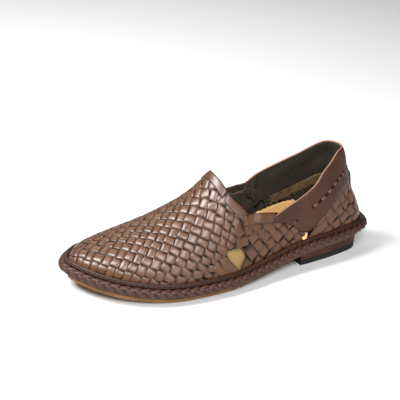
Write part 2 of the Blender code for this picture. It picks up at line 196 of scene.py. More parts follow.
def outline(side, row, inset=0.0):
    """Station and offset of the sole's outline at a row of OUTLINE, moved inwards by inset."""
    row = np.asarray(row, float)
    place = row if side == OUTER else LOOP_ROWS - row
    knot = np.interp(place, np.arange(LOOP_ROWS + 1), loop_knots)
    step, span = 0.01, loop_knots[-1]
    along = sole_loop(np.mod(knot + step, span)) - sole_loop(np.mod(knot - step, span))
    return sole_loop(knot) + inset * unit(left(along))


def centre(station):
    """Offset of the shoe's middle line, which bends inwards towards the toe."""
    swing = (np.clip(station - SWING_START, 0, None) / (LENGTH - SWING_START)) ** 2
    return AXIS_OFFSET + TOE_SWING * swing


def bottom(station):
    """Height of the outsole's lower face."""
    toe = np.clip((station - FOREFOOT_FLAT[1]) / (LENGTH - FOREFOOT_FLAT[1]), 0, 1)
    climb = np.clip((FOREFOOT_FLAT[0] - station) / (FOREFOOT_FLAT[0] - BREAST), 0, None)
    shank = HEEL_AT_BREAST * climb ** 1.4
    seat = HEEL_AT_BREAST + HEEL_WEDGE * (BREAST - station) / BREAST
    lower = -BREAST_BLEND * np.logaddexp(-shank / BREAST_BLEND, -seat / BREAST_BLEND)
    return TOE_SPRING * toe ** 1.7 + np.where(climb > 0, np.maximum(lower, 0), 0)


def swell(station):
    """How much larger the rand and its cord are than at the heel."""
    waist, toe = SWELL
    return 1 + waist * smooth((station - 50) / 60) + toe * smooth((station - 205) / 85)


def ease(station, stop, reach):
    """The station, brought smoothly to a halt at stop from reach before it."""
    eased = stop - (stop + reach - station) ** 2 / (4 * reach)
    return np.where(station < stop - reach, station, np.where(station > stop + reach, stop, eased))


def ridge_station(station):
    """Station on the ridge that a section from the feather edge runs up to."""
    ahead = ease(station, TOE_CENTRE, TOE_EASE)
    return -ease(-ahead, -HEEL_CENTRE, HEEL_EASE)


def feather(side, row):
    """Foot of the upper, the ridge point above it, and the pair's mean station."""
    foot, other = outline(side, row, UPPER_INSET), outline(-side, row, UPPER_INSET)
    station = (foot[..., 0] + other[..., 0]) / 2
    top = ridge_station(station)
    return foot, np.stack([top, centre(top)], -1), station


def last_point(side, row, up):
    """A point of the upper's outer face, in millimetres: up runs from 0 at its foot to 1."""
    row, up = np.broadcast_arrays(np.asarray(row, float), np.asarray(up, float))
    foot, top, station = feather(side, row)
    run = top - foot
    low = bottom(foot[..., 0]) + UPPER_FOOT
    # the section leans with the ridge, less so at the toe's wall, and is fuller at the back
    slope = (ridge_height(top[..., 0] + 1) - ridge_height(top[..., 0] - 1)) / 2 * run[..., 0]
    slope = slope * (1 - TOE_WALL * smooth((station - 215) / 60))
    fullness = 1 + BACK_FULLNESS * smooth((185 - station) / 85)
    inwards = 1 - np.cos(up * math.pi / 2) ** fullness
    crown = 1 - TOE_FULLNESS * smooth((station - 205) / 75)
    climb = np.sin(up * math.pi / 2) ** crown
    height = (ridge_height(top[..., 0]) - low - slope) * climb + slope * inwards
    # the heel's back leans in over its foot, and stands up again below the rim
    lean = BACK_LEAN * smooth((60 - station) / 50) * smooth((height - 8) / 42)
    lean = lean * (1 - RIM_UPRIGHT * smooth((height - 50) / 30))
    inwards = inwards + lean * (1 - inwards)
    if side == INNER:
        waist = smooth((150 - station) / 30) * smooth((station - 20) / 40)
        inwards = inwards * (1 - WAIST_OUT * waist)
    place = foot + inwards[..., None] * run
    return np.stack([LENGTH / 2 - place[..., 0], place[..., 1], low + height], -1)


def rise(side, row, height):
    """How far up its section, from 0 to 1, the last's surface reaches a height."""
    low, high = np.zeros(np.shape(row)), np.ones(np.shape(row))
    for _ in range(20):
        middle = (low + high) / 2
        under = last_point(side, row, middle)[..., 2] < height
        low, high = np.where(under, middle, low), np.where(under, high, middle)
    return (low + high) / 2


def facing(side, row, up):
    """The outward direction of the upper's face."""
    step = 0.01
    near = np.clip(up, step, 0.97)      # the sections of the toe meet at the very top
    along = (last_point(side, np.clip(row + step, 0, LAST_ROW), near)
             - last_point(side, np.clip(row - step, 0, LAST_ROW), near))
    upward = last_point(side, row, near + step) - last_point(side, row, near - step)
    return unit(np.cross(along, upward) * side)


# ---- charts: flat layouts of the upper that straps are drawn on -----------------------
foot_rows = np.linspace(0, LAST_ROW, 800)
foot_stations = feather(OUTER, foot_rows)[2]
foot_walk = {side: walk(outline(side, foot_rows, UPPER_INSET)) for side in (OUTER, INNER)}
VAMP_START = 5.0                    # the row that the flat forepart is laid out from
VAMP_ROWS, VAMP_UPS = 200, 70
CHART_EDGE = 0.4                    # mm from its grid that a flat spot may lie


class Wall:
    """The upper's side as (distance round its foot from the heel's back, height), in mm."""

    def __init__(self, side):
        self.side = side

    def around(self, station):
        """Distance round the foot, from the heel's back, of a feather station."""
        return np.interp(station, foot_stations, foot_walk[self.side])

    def place(self, spots):
        """Points on the last at spots of the chart, and the outward directions there."""
        row = np.interp(spots[..., 0], foot_walk[self.side], foot_rows)
        up = rise(self.side, row, spots[..., 1])
        return last_point(self.side, row, up), facing(self.side, row, up)

    def station(self, spots):
        """Stations and heights of spots of the chart."""
        return np.interp(spots[..., 0], foot_walk[self.side], foot_stations), spots[..., 1]


class Vamp:
    """The forepart laid flat: x runs along the ridge towards the toe, y across it, in mm.

    Its grid holds a flat spot, the point of the last there, its outward direction and its
    station, row by row towards the toe, from the outer side's foot over to the inner's.
    """

    def __init__(self):
        rows, ups = np.linspace(VAMP_START, LAST_ROW, VAMP_ROWS), np.linspace(0, 1, VAMP_UPS)
        stations = np.linspace(60, TOE_CENTRE, 300)
        ridge = walk(np.stack([stations, ridge_height(stations)], 1))
        layers = []
        for side in (OUTER, INNER):
            row, up = np.meshgrid(rows, ups, indexing="ij")
            spots = last_point(side, row, up)
            foot, top, station = feather(side, row)
            lengths = np.linalg.norm(np.diff(spots, axis=1), axis=-1)
            down = np.concatenate([np.cumsum(lengths[:, ::-1], 1)[:, ::-1],
                                   np.zeros((len(rows), 1))], 1)
            flat = (unit(foot - top) * down[..., None]
                    + np.stack([np.interp(top[..., 0], stations, ridge), 0 * station], -1))
            layers.append(np.concatenate([flat, spots, facing(side, row, up),
                                          station[..., None]], -1))
        self.grid = np.concatenate([layers[0], layers[1][:, -2::-1]], 1)
        flat_grid = bmesh.new()
        down, across = self.grid.shape[0] - 1, self.grid.shape[1] - 1
        bmesh.ops.create_grid(flat_grid, x_segments=across, y_segments=down, size=1)
        for vert, (x, y) in zip(flat_grid.verts, self.grid[..., :2].reshape(-1, 2)):
            vert.co = (x, y, 0.0)
        self.tree = BVHTree.FromBMesh(flat_grid)
        flat_grid.free()

    def read(self, spots):
        """Nearest flat spot on the grid, place, outward direction and station at each spot."""
        across = self.grid.shape[1] - 1
        found = [self.tree.find_nearest((x, y, 0.0)) for x, y in spots.reshape(-1, 2)]
        index = np.array([hit[2] for hit in found])
        where = np.array([hit[0][:2] for hit in found])
        i, j = index // across, index % across
        corners = [self.grid[i, j], self.grid[i, j + 1], self.grid[i + 1, j],
                   self.grid[i + 1, j + 1]]
        u, v = np.full(len(i), 0.5), np.full(len(i), 0.5)
        for _ in range(4):              # Newton's steps to the place within the cell
            a, b, c, d = (corner[:, :2] for corner in corners)
            low, high = a + (b - a) * u[:, None], c + (d - c) * u[:, None]
            miss = where - (low + (high - low) * v[:, None])
            du = (b - a) * (1 - v)[:, None] + (d - c) * v[:, None]
            dv = high - low
            det = divisor(turn(du, dv))
            u = np.clip(u + turn(miss, dv) / det, 0, 1)
            v = np.clip(v + turn(du, miss) / det, 0, 1)
        a, b, c, d = corners
        u, v = u[:, None], v[:, None]
        value = a * (1 - u) * (1 - v) + b * u * (1 - v) + c * (1 - u) * v + d * u * v
        value = value.reshape(*spots.shape[:-1], -1)
        return value[..., :2], value[..., 2:5], value[..., 5:8], value[..., 8]

    def spot(self, side, station, height):
        """Flat spots of stations and heights on one side."""
        row = np.interp(station, foot_stations, foot_rows)
        up = rise(side, row, height) * (VAMP_UPS - 1)
        last, widest = VAMP_ROWS - 1, 2 * (VAMP_UPS - 1)
        i = np.clip((row - VAMP_START) / (LAST_ROW - VAMP_START) * last, 0, last - 0.001)
        j = np.clip(up if side == OUTER else widest - up, 0, widest - 0.001)
        a, b = i.astype(int), j.astype(int)
        u, v = (i - a)[..., None], (j - b)[..., None]
        flat = self.grid[..., :2]
        return ((flat[a, b] * (1 - u) + flat[a + 1, b] * u) * (1 - v)
                + (flat[a, b + 1] * (1 - u) + flat[a + 1, b + 1] * u) * v)

    def place(self, spots):
        """Points on the last at flat spots, and the outward directions there."""
        _, place, out, _ = self.read(spots)
        return place, unit(out)


# ---- mesh helpers ----------------------------------------------------------------------
#        across  drop in mm: a strap's section
ACROSS = ((-1.0, 0.24), (-0.94, 0.07), (-0.55, 0.02), (0.0, 0.0), (0.55, 0.02),
          (0.94, 0.07), (1.0, 0.24))


def shape_grid(bm, points, marks, out):
    """Lays a new grid on an array of points in mm, rows by columns, and turns it to face out.

    marks, or None, holds for the finish how far across and along its strap each point is, the
    strap's number, and how high it lies in the weave.
    """
    rows, columns = points.shape[:2]
    layers = bm.verts.layers
    layer = layers.float_vector.get("strap") or layers.float_vector.new("strap")
    lie = layers.float.get("lie") or layers.float.new("lie")
    made = bmesh.ops.create_grid(bm, x_segments=columns - 1, y_segments=rows - 1, size=1)["verts"]
    spots = points.reshape(-1, 3) * MM
    if marks is not None:
        marks = marks.reshape(-1, 4)
    for k, vert in enumerate(made):
        vert.co = spots[k]
        if marks is not None:
            vert[layer], vert[lie] = marks[k, :3], marks[k, 3]
    middle = (rows // 2) * columns + columns // 2
    lean = 0.0
    for face in made[middle].link_faces:
        face.normal_update()
        lean += face.normal.dot(Vector(out.reshape(-1, 3)[middle]))
    if lean < 0:
        faces = {face for vert in made for face in vert.link_faces}
        bmesh.ops.reverse_faces(bm, faces=list(faces))
    return made


def joined(bm):
    """The bmesh with the grids' touching corners and edges made one."""
    bmesh.ops.remove_doubles(bm, verts=bm.verts, dist=0.00001)
    return bm


def sheet(points, out, marks=None):
    """A bmesh of one grid."""
    bm = bmesh.new()
    shape_grid(bm, points, marks, out)
    return bm


def points_along(line, walked, stops):
    """Points of a flat line at the given stops along it."""
    return np.stack([np.interp(stops, walked, line[:, k]) for k in (0, 1)], 1)


def even_steps(line, step):
    """The line's points, re-spaced evenly about step apart along a smooth curve."""
    line = np.asarray(line, float)
    walked = walk(line)
    count = max(int(walked[-1] / step), 2) + 1
    fine = spline(walked, line)(np.linspace(0, walked[-1], count * 4))
    walked = walk(fine)
    return points_along(fine, walked, np.linspace(0, walked[-1], count))


def left_of(line):
    """The direction to a flat line's left, at each of its points."""
    return left(unit(np.gradient(line, axis=0)))


def crossings(line, others):
    """Where along its own length a line crosses each of the others, as {number: distance}."""
    steps, walked = np.diff(line, axis=0)[:, None], walk(line)
    found = {}
    for number, other in others.items():
        crossing = np.diff(other, axis=0)
        gap = other[:-1] - line[:-1, None]
        det = divisor(turn(steps, crossing))
        t, s = turn(gap, crossing) / det, turn(gap, steps) / det
        hits = np.argwhere((t >= 0) & (t < 1) & (s >= 0) & (s < 1))
        if len(hits):
            i, j = hits[0]
            found[number] = walked[i] + t[i, j] * (walked[i + 1] - walked[i])
    return found


CELL_STEPS = (0.0, 0.36, 0.66, 0.85, 0.95)      # of the way from a crossing to a cell's end
LOOSE_SWING = 0.8                   # of a strap's end that nothing crosses
LOOSE_CELL = 5.0                    # mm taken for half a cell where there is one crossing


def woven(line, places, flip):
    """The line in steps that suit its crossings, and its swing over and under, -1 to 1.

    places maps the neighbours' numbers to distances; one with number + flip odd is under it.
    """
    if not places:
        return line, np.full(len(line), LOOSE_SWING)
    order = sorted(places.items(), key=lambda item: item[1])
    spots = np.array([spot for _, spot in order])
    signs = np.array([1.0 if (number + flip) % 2 else -1.0 for number, _ in order])

    walked = walk(line)
    steps = list(walked[(walked < spots[0]) | (walked > spots[-1])])
    for near, far in zip(spots, spots[1:]):
        middle = (near + far) / 2
        steps += [near + (middle - near) * f for f in CELL_STEPS]
        steps += [middle] + [far + (middle - far) * f for f in CELL_STEPS]
    steps = np.unique(np.round(steps + [spots[-1]], 3))
    steps = steps[np.r_[True, np.diff(steps) > 0.02]]
    line = points_along(line, walked, steps)

    edges = (spots[1:] + spots[:-1]) / 2
    k = np.searchsorted(edges, steps)
    pad = np.mean(np.diff(spots)) / 2 if len(spots) > 1 else LOOSE_CELL
    lower = np.r_[spots[0] - pad, edges][k]
    upper = np.r_[edges, spots[-1] + pad][k]
    ahead = steps < spots[k]
    away = np.where(ahead, (spots[k] - steps) / (spots[k] - lower),
                    (steps - spots[k]) / (upper - spots[k]))
    swing = signs[k] * (1 - np.clip(away, 0, 1) ** 4)
    rising = np.where(away > 1, LOOSE_SWING * (1 - np.clip(2 - away, 0, 1) ** 4), swing)
    before = np.r_[signs[0], signs[:-1]][k] == signs[k]
    after = np.r_[signs[1:], signs[-1]][k] == signs[k]
    swing = np.where(np.where(ahead, before, after), signs[k], swing)
    loose = (steps < spots[0]) | (steps > spots[-1])
    return line, np.where(loose, np.where(signs[k] > 0, 1.0, rising), swing)


SHORTEST = 4                        # steps, under which a strap's end is left off


def strap_stops(keep):
    """The row that each point across a strap stands on, held where it may no longer be kept.

    None if no stretch of the strap's middle is long enough.
    """
    count, columns = keep.shape
    turns = np.flatnonzero(np.diff(np.r_[0, keep[:, columns // 2].astype(int), 0]))
    first, last = max(turns.reshape(-1, 2), key=lambda run: run[1] - run[0], default=(0, 0))
    if last - first < SHORTEST:
        return None
    home = (first + last) // 2
    picks = []
    for column in range(columns):
        out = np.flatnonzero(~keep[:, column])
        start = out[out < home].max() + 1 if (out < home).any() else 0
        stop = out[out > home].min() - 1 if (out > home).any() else count - 1
        picks.append(np.clip(np.arange(count), start, stop))
    return np.stack(picks, 1)


def lay_strap(bm, chart, line, half, swing, number, inside=None, bed=BED, relief=RELIEF):
    """Adds one strap along a line of the chart, half wide either side, to bm.

    It lies bed over the last, and swings by relief; inside says which of its spots to keep.
    """
    across, drop = np.array(ACROSS).T
    half, swing = (np.broadcast_to(value, len(line))[:, None] for value in (half, swing))
    spots = line[:, None] + left_of(line)[:, None] * (half * across)[..., None]
    height = bed + relief * swing - drop
    walked = walk(line)
    if inside is not None:
        picks = strap_stops(inside(spots))
        if picks is None:
            return
        used = slice(picks.min(), picks.max() + 1)
        columns = np.arange(len(across))[None]
        spots, height = spots[picks, columns][used], height[picks, columns][used]
        walked = walked[used]
    place, out = chart.place(spots)
    marks = np.zeros((*spots.shape[:2], 4))
    marks[..., 0] = across
    marks[..., 1] = walked[:, None] * MM
    marks[..., 2] = number
    marks[..., 3] = (height + drop - bed) / relief
    shape_grid(bm, place + out * height[..., None], marks, out)


def finish(name, bm, look, stands_for=(), thickness=0.0, cut=None, back=None):
    """Turns a bmesh into a finished piece of the shoe, in place of the nodes it stands for.

    thickness in mm goes inwards; cut is the finish of the leather's cut edges, and back that
    of its flesh side.
    """
    mesh = bpy.data.meshes.new(name)
    bm.to_mesh(mesh)
    bm.free()
    mesh.shade_smooth()
    mesh.materials.append(look)
    for other in (cut, back):
        if other:
            mesh.materials.append(other)
    piece = bpy.data.objects.new(name, mesh)
    bpy.context.scene.collection.objects.link(piece)
    if thickness:
        wall = piece.modifiers.new("leather", "SOLIDIFY")
        wall.thickness = thickness * MM
        wall.offset = -1.0
        wall.use_even_offset = False
        wall.material_offset_rim = 1 if cut else 0
        wall.material_offset = 2 if back else 0
        wall.use_quality_normals = True
    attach(piece, "root")
    if stands_for:
        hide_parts(*stands_for)


# ---- materials -------------------------------------------------------------------------
class Socket:
    """A shader socket that can be used in sums; each operator adds its Math node."""

    def __init__(self, look, socket):
        self.look, self.socket = look, socket

    def math(self, operation, first, second=0.0):
        return self.look.node("Math", {"operation": operation}, {0: first, 1: second})

    def __add__(self, other):
        return self.math("ADD", self, other)

    def __sub__(self, other):
        return self.math("SUBTRACT", self, other)

    def __rsub__(self, other):
        return self.math("SUBTRACT", other, self)

    def __mul__(self, other):
        return self.math("MULTIPLY", self, other)

    __radd__, __rmul__ = __add__, __mul__

    def clamp(self):
        return self.look.node("Clamp", {}, {0: self})


class Look:
    """A procedural material in the making: one Principled shader and what feeds it."""

    def __init__(self, name, **constants):
        self.material = bpy.data.materials.new(name)
        self.material.use_nodes = True
        self.tree = self.material.node_tree
        self.shader = self.tree.nodes["Principled BSDF"]
        for label, value in constants.items():
            self.shader.inputs[label.replace("_", " ")].default_value = value

    def put(self, socket, value):
        """Feeds a socket from another, or sets its value."""
        if isinstance(value, Socket):
            self.tree.links.new(value.socket, socket)
        else:
            socket.default_value = value

    def node(self, kind, settings, sockets, output=0):
        """Adds a node with its settings, then feeds its sockets."""
        made = self.tree.nodes.new("ShaderNode" + kind)
        for label, value in settings.items():
            setattr(made, label, value)
        for label, value in sockets.items():
            self.put(made.inputs[label], value)
        return Socket(self, made.outputs[output])

    def place(self):
        return self.node("TexCoord", {}, {}, "Object")

    def stretched(self, where, scale):
        return self.node("Mapping", {}, {"Vector": where, "Scale": scale})

    def noise(self, where, scale, detail, rough=0.5):
        return self.node("TexNoise", {}, {"Vector": where, "Scale": scale, "Detail": detail,
                                          "Roughness": rough})

    def cells(self, where, scale):
        return self.node("TexVoronoi", {}, {"Vector": where, "Scale": scale})

    def band(self, value, low, high):
        """0 below low, 1 above high, smooth between."""
        return self.node("MapRange", {"interpolation_type": "SMOOTHSTEP"},
                         {0: value, 1: low, 2: high})

    def mix(self, factor, first, second):
        return self.node("Mix", {"data_type": "RGBA"}, {0: factor, 6: first, 7: second}, 2)

    def attribute(self, name, output="Vector"):
        return self.node("Attribute", {"attribute_name": name}, {}, output)

    def parts(self, vector):
        """The three parts of a vector."""
        made = self.node("SeparateXYZ", {}, {0: vector}).socket.node
        return [Socket(self, output) for output in made.outputs]

    def join(self, x, y, z):
        return self.node("CombineXYZ", {}, {0: x, 1: y, 2: z})

    def bump(self, height, distance, strength):
        """Height in units of distance, which is in metres."""
        return self.node("Bump", {}, {"Height": height, "Distance": distance,
                                      "Strength": strength})

    def set(self, **sockets):
        """Feeds the shader's own sockets, and gives the finished material."""
        for label, value in sockets.items():
            self.put(self.shader.inputs[label.replace("_", " ")], value)
        return self.material


def tint(colour, share=1.0):
    """A share of a colour, as a socket wants it."""
    return (colour[0] * share, colour[1] * share, colour[2] * share, 1.0)


def shaded(colour, share):
    """A share of a colour, at most white."""
    return tuple(min(1.0, part * share) for part in colour)


def strap_leather(name, colour, lit, gloss=0.29, shine=0.50):
    """Aniline-dyed strap: tone from strap to strap, a painted highlight on its crowns, painted
    shade in its dips and at its edges, grain and creases.
    """
    look = Look(name, Specular_IOR_Level=shine)
    across, along, number = look.parts(look.attribute("strap"))
    lie = look.attribute("lie", "Fac")
    where = look.place()
    strap = look.node("TexWhiteNoise", {"noise_dimensions": "1D"}, {"W": number}, "Value")
    cloud = look.noise(where, 55.0, 3.0)
    own = look.join(across * 0.4, along * 60.0, number * 3.7)
    patch = look.noise(own, 1.0, 2.0)
    tone = (strap * 0.16 + patch * 0.50 + cloud * 0.40).clamp()
    body = look.mix(look.band(tone, 0.30, 0.80), tint(colour), tint(lit))
    aside = across.math("ABSOLUTE", across)
    # painted highlight: where the strap rides highest, away from its edges, it is lightened
    # towards a brighter copy of lit
    crown = look.band(lie, 0.5, 1.0) * (1.0 - look.band(aside, 0.5, 1.0))
    body = look.mix(crown * 0.45, body, tint(lit, 1.7))
    # painted shade: the strap darkens at its cut edges and where it dives under its neighbours
    shade = (look.band(aside, 0.90, 1.0) * 0.25
             + (1.0 - look.band(lie, -0.20, 0.80)) * 0.85).clamp()
    body = look.mix(shade, body, tint(colour, 0.12))
    grain = look.cells(where, 1500.0)
    pores = look.noise(where, 900.0, 2.0)
    creases = look.noise(look.join(across * 1.2, along * 420.0, number), 1.0, 3.0)
    height = grain * 0.35 + pores * 0.25 + creases * 0.5
    rough = gloss + patch * 0.10 + cloud * 0.08 - crown * 0.04 + shade * 0.45
    return look.set(Base_Color=body, Roughness=rough, Normal=look.bump(height, 0.00018, 0.5))


def smooth_leather(name, colour, lit, gloss=0.42, shine=0.28):
    """The same hide where it is left whole, on Object coordinates."""
    look = Look(name, Specular_IOR_Level=shine)
    where = look.place()
    cloud = look.noise(where, 28.0, 4.0)
    fine = look.noise(where, 160.0, 3.0)
    body = look.mix(look.band(cloud * 0.7 + fine * 0.3, 0.35, 0.68), tint(colour), tint(lit))
    grain = look.cells(where, 1400.0)
    creases = look.noise(look.stretched(where, (1.0, 1.0, 2.4)), 240.0, 4.0)
    return look.set(Base_Color=body, Roughness=gloss + fine * 0.12,
                    Normal=look.bump(grain * 0.4 + creases * 0.6, 0.0002, 0.45))


def cut_edge(name, share):
    """The raw edge of cut leather, at a share of its own tone."""
    look = Look(name, Specular_IOR_Level=0.3)
    fibres = look.noise(look.place(), 900.0, 4.0)
    low, high = (0.040, 0.020, 0.012), (0.085, 0.045, 0.028)
    return look.set(Base_Color=look.mix(fibres, tint(low, share), tint(high, share)),
                    Roughness=0.6 + fibres * 0.2, Normal=look.bump(fibres, 0.0002, 0.4))


def dark_hollow(name):
    """Leather deep in shadow, as inside a punched hole."""
    look = Look(name, Specular_IOR_Level=0.1)
    fibres = look.noise(look.place(), 1200.0, 3.0)
    return look.set(Base_Color=look.mix(fibres, (0.004, 0.002, 0.001, 1.0),
                                        (0.016, 0.008, 0.005, 1.0)),
                    Roughness=0.85 + fibres * 0.1)


def suede(name, colour, dark, outer_shade_share=1.0):
    """Napped leather, mottled and matt; a last argument under 1 gives the outer side's turned-up
    part painted shade, at that share of its dark tone.
    """
    look = Look(name, Specular_IOR_Level=0.2, Sheen_Weight=0.08, Sheen_Roughness=0.6)
    where = look.place()
    mottle = look.noise(where, 260.0, 5.0, 0.65)
    cloud = look.noise(where, 40.0, 3.0)
    body = look.mix(look.band(mottle * 0.6 + cloud * 0.4, 0.38, 0.62), tint(dark), tint(colour))
    if outer_shade_share != 1.0:
        # painted shade on the outer side, fading in from 30 to 37 mm out along -Y
        turned = look.band(look.parts(where)[1] * -1.0, 0.030, 0.037)
        body = look.mix(turned, body, tint(dark, outer_shade_share))
    return look.set(Base_Color=body, Roughness=0.9 + cloud * 0.05,
                    Normal=look.bump(mottle, 0.0006, 0.6))


def sole_leather(name, colour, dark, layers=0.0, gloss=0.5, shank=None):
    """Edge-dressed sole leather; layers is the spacing of a stack's lifts in metres.

    Behind shank, a place along the shoe, the edge is darkened as painted shade.
    """
    look = Look(name, Specular_IOR_Level=0.28)
    where = look.place()
    fibres = look.noise(look.stretched(where, (60.0, 60.0, 900.0)), 1.0, 4.0)
    cloud = look.noise(where, 45.0, 3.0)
    body = look.mix(look.band(fibres * 0.6 + cloud * 0.4, 0.35, 0.65), tint(dark), tint(colour))
    height = fibres
    if shank is not None:
        # painted shade: the outsole's edge darkens from the shank back to the heel
        behind = look.band(look.parts(where)[0], shank - 0.05, shank)
        body = look.mix(behind * 0.9, body, tint(dark, 0.35))
    if layers:
        level = look.parts(where)[2] * (1.0 / layers)
        line = level.math("FRACT", level)
        seam = 1.0 - look.band(line.math("ABSOLUTE", line - 0.5), 0.03, 0.10)
        body = look.mix(seam * 0.7, body, tint(dark, 0.4))
        height = fibres - seam * 2.0
    return look.set(Base_Color=body, Roughness=gloss + cloud * 0.15,
                    Normal=look.bump(height, 0.0003, 0.5))


def rubber(name, colour):
    """Matt rubber, scuffed along its edge."""
    look = Look(name, Specular_IOR_Level=0.22)
    where = look.place()
    speckle = look.noise(where, 600.0, 3.0)
    scuffs = look.noise(look.stretched(where, (30.0, 30.0, 220.0)), 1.0, 4.0)
    body = look.mix(look.band(scuffs, 0.45, 0.75), tint(colour), tint(colour, 2.4))
    return look.set(Base_Color=body, Roughness=0.55 + speckle * 0.2,
                    Normal=look.bump(speckle, 0.00025, 0.5))


# ---- the weave -------------------------------------------------------------------------
#       height  station: where the vamp's straps stop, in front of the quarter and its diamond
VAMP_END = ((8, 156), (16.5, 155.5), (24, 162), (31, 168.5), (34, 168.4), (36.5, 167),
            (38.5, 160), (44, 155), (51, 152), (57, 148), (62, 143), (68, 138), (95, 138))
# The quarter's straps by number, as (station, height) along their middle, and half widths.
# The fan runs back and up from the vamp; the cross straps run down and back through it.
FAN = {0: (((160, 54), (155, 55.8), (150, 56.8), (143, 57.2), (134, 56.6), (124, 55.2),
            (114, 53), (108, 51.5)), 3.8),
       2: (((172, 50), (160, 49.6), (150, 48.9), (143, 48.8), (137, 48.7), (130, 48.8),
            (124, 49), (115, 48.5), (106, 47)), 3.6),
       3: (((174, 40.2), (160, 40.6), (150, 40.9), (143, 41.2), (136, 42), (130, 43.5),
            (124, 46), (118, 48.5), (110, 51)), 3.8),
       4: (((151, 8), (148.5, 14), (145, 20), (141, 26), (137, 31), (132, 34.8), (126, 38.5),
            (119, 43), (112, 47), (104, 51)), 4.4),
       5: (((138, 8), (135.5, 14), (132, 20.5), (127, 27), (122, 30.8), (116, 34.2),
            (109, 38.5), (102, 43.5), (94, 49)), 4.2),
       6: (((128, 9), (124.5, 14), (120, 19), (114, 23.5), (107, 27.5), (100, 32.5), (94, 37.5),
            (87, 43)), 3.8),
       7: (((117, 9), (112.5, 12.5), (107, 16.3), (100, 20.5), (94, 25), (89, 29.5),
            (84, 34.5)), 3.4)}
CROSS = {1: (((160, 64), (157, 58), (153.5, 49), (149, 41), (144, 33), (139.5, 26), (134, 20),
              (128, 14), (122, 9)), 4),
         2: (((153, 61.5), (148, 54.5), (143.5, 48.5), (139, 41), (134, 34), (128, 27),
              (120, 19.5), (114, 14), (109, 9)), 4.2),
         3: (((144.5, 60), (139, 53.5), (134, 48.5), (129, 43), (124.5, 38), (119, 31.5),
              (112, 24.5), (106, 18), (99, 11)), 4.2),
         4: (((131.5, 60), (126.5, 53), (122, 47.5), (118, 43), (113.5, 38), (109, 33),
              (103, 26), (98, 20), (91, 12)), 3.9),
         5: (((120, 58), (116, 53), (112, 48.5), (108, 44), (103.5, 39), (99, 34), (94, 28),
              (89, 21), (83, 12)), 3.6),
         6: (((104, 50.5), (100.5, 46.5), (96.5, 41), (92.5, 35.5), (89.5, 30), (86.5, 24),
              (81.5, 14)), 3.2)}
# The strap that edges the diamond opening in front, over the vamp's ends.
BORDER = {1: (((168, 43), (171, 37.5), (171.6, 33), (169.5, 27), (164, 20.6), (158.5, 14.8),
               (153.5, 9)), 4.3),
          2: (((181, 29), (178, 24.6), (173.2, 19.2), (167.6, 13.4), (162.5, 8.5)), 4)}
# The counter's straps, as (distance round the foot from the back, height), and half widths.
COUNTER_UP = {1: (((90, 9), (86.5, 16), (81.5, 23.5), (76.5, 29), (70.5, 33.5), (63, 38),
                   (52, 43), (40, 48.5), (26, 52.5), (10, 54.5), (0, 55)), 4.4),
              2: (((84, 12), (74, 19.5), (64, 26), (54, 31.5), (44, 36.5), (34, 41), (22, 44),
                   (10, 45.5), (0, 46)), 4.4),
              3: (((70, 9), (60, 16), (50, 22.5), (40, 27.5), (30, 31.5), (18, 34.5), (8, 36),
                   (0, 36.5)), 4.5),
              4: (((50, 10), (40, 16.5), (30, 21), (18, 24.5), (8, 26), (0, 26.5)), 4.4),
              0: (((80, 36), (70, 41.5), (60, 46.5), (48, 52.5), (34, 58), (20, 61.5), (8, 63),
                   (0, 63.5)), 4.2)}
COUNTER_DOWN = {number: (((middle + 20.0, 65.0), (middle + 11.0, 50.0), (middle, 35.0),
                          (middle - 9.0, 22.0), (middle - 18.0, 9.0)), 5.6)
                for number, middle in enumerate((67.0, 53.0, 39.5, 26.0, 12.5, -1.0), 1)}
LOOP_STRAP = 0                      # the fan's strap that runs on to the collar, over the rest
LOOP_BACK = {OUTER: 107.0, INNER: 116.0}        # the station where it ends on each side
UNDER_VAMP = 8.0                    # how far the quarter's straps run on past the vamp's ends
BAND_COVER = 119.0                  # the station that the collar band covers the wall up to
COUNTER_SPAN = (0.2, 92.0)          # mm round the foot, from the heel's back
# Straps are laid a little wider than their share, so that they touch: half a vamp strap as a
# part of its width, and a wall strap as a multiple of its width in the tables.
VAMP_SNUG, WALL_SNUG = 0.53, 1.12
VAMP_STEP, WALL_STEP, THROAT_STEP = 1.15, 1.1, 1.0      # mm along a strap


def vamp_end(height):
    """The station where the vamp's straps stop, at a height."""
    return np.interp(height, *np.array(VAMP_END).T)


def run_edge(table, edge, y):
    """Ridge-wise place, on the flat vamp, of a family's strap edge at offset y."""
    rows = np.array(table)
    at = spline(rows[:, 0], rows[:, 1:])(edge)
    bend = np.where(y < 0, at[2], INNER_BEND)
    return at[0] + at[1] * y + bend * y * y


def vamp_runs(table, first, last):
    """Middle line and half widths of each strap of a family, by number."""
    runs = {}
    y = np.arange(-125.0, 125.0, 2.0)
    for number in range(first, last):
        line = even_steps(np.stack([run_edge(table, number + 0.5, y), y], 1), VAMP_STEP)
        ahead, aside = np.gradient(line, axis=0).T
        lean = ahead / divisor(aside, 1e-6)
        width = run_edge(table, number + 1, line[:, 1]) - run_edge(table, number, line[:, 1])
        runs[number] = (line, VAMP_SNUG * np.abs(width) / np.sqrt(1 + lean ** 2))
    return runs


def add_vamp():
    """The close weave of the forepart, over the ridge and down both sides."""
    chart = Vamp()
    ups, downs = vamp_runs(LEFT_RUN, -15, 8), vamp_runs(RIGHT_RUN, -12, 12)

    def inside(spots):
        near, place, _, station = chart.read(spots)
        height, on_chart = place[..., 2], np.linalg.norm(near - spots, axis=-1) <= CHART_EDGE
        edge = np.where(spots[..., 1] < 0, shell_top(station, OUTER), shell_top(station, INNER))
        below = (height < edge - 1.0) | (station > SHELL_TOP[-1][0])
        return (station > vamp_end(height)) & below & on_chart

    bm = bmesh.new()
    for own, others, falling in ((ups, downs, False), (downs, ups, True)):
        lines = {number: line for number, (line, _) in others.items()}
        for number, (line, half) in own.items():
            strap, swing = woven(line, crossings(line, lines), number + falling)
            half = np.interp(strap[:, 1], line[:, 1], half)
            lay_strap(bm, chart, strap, half, swing, number + 40 * falling, inside)
    return joined(bm)


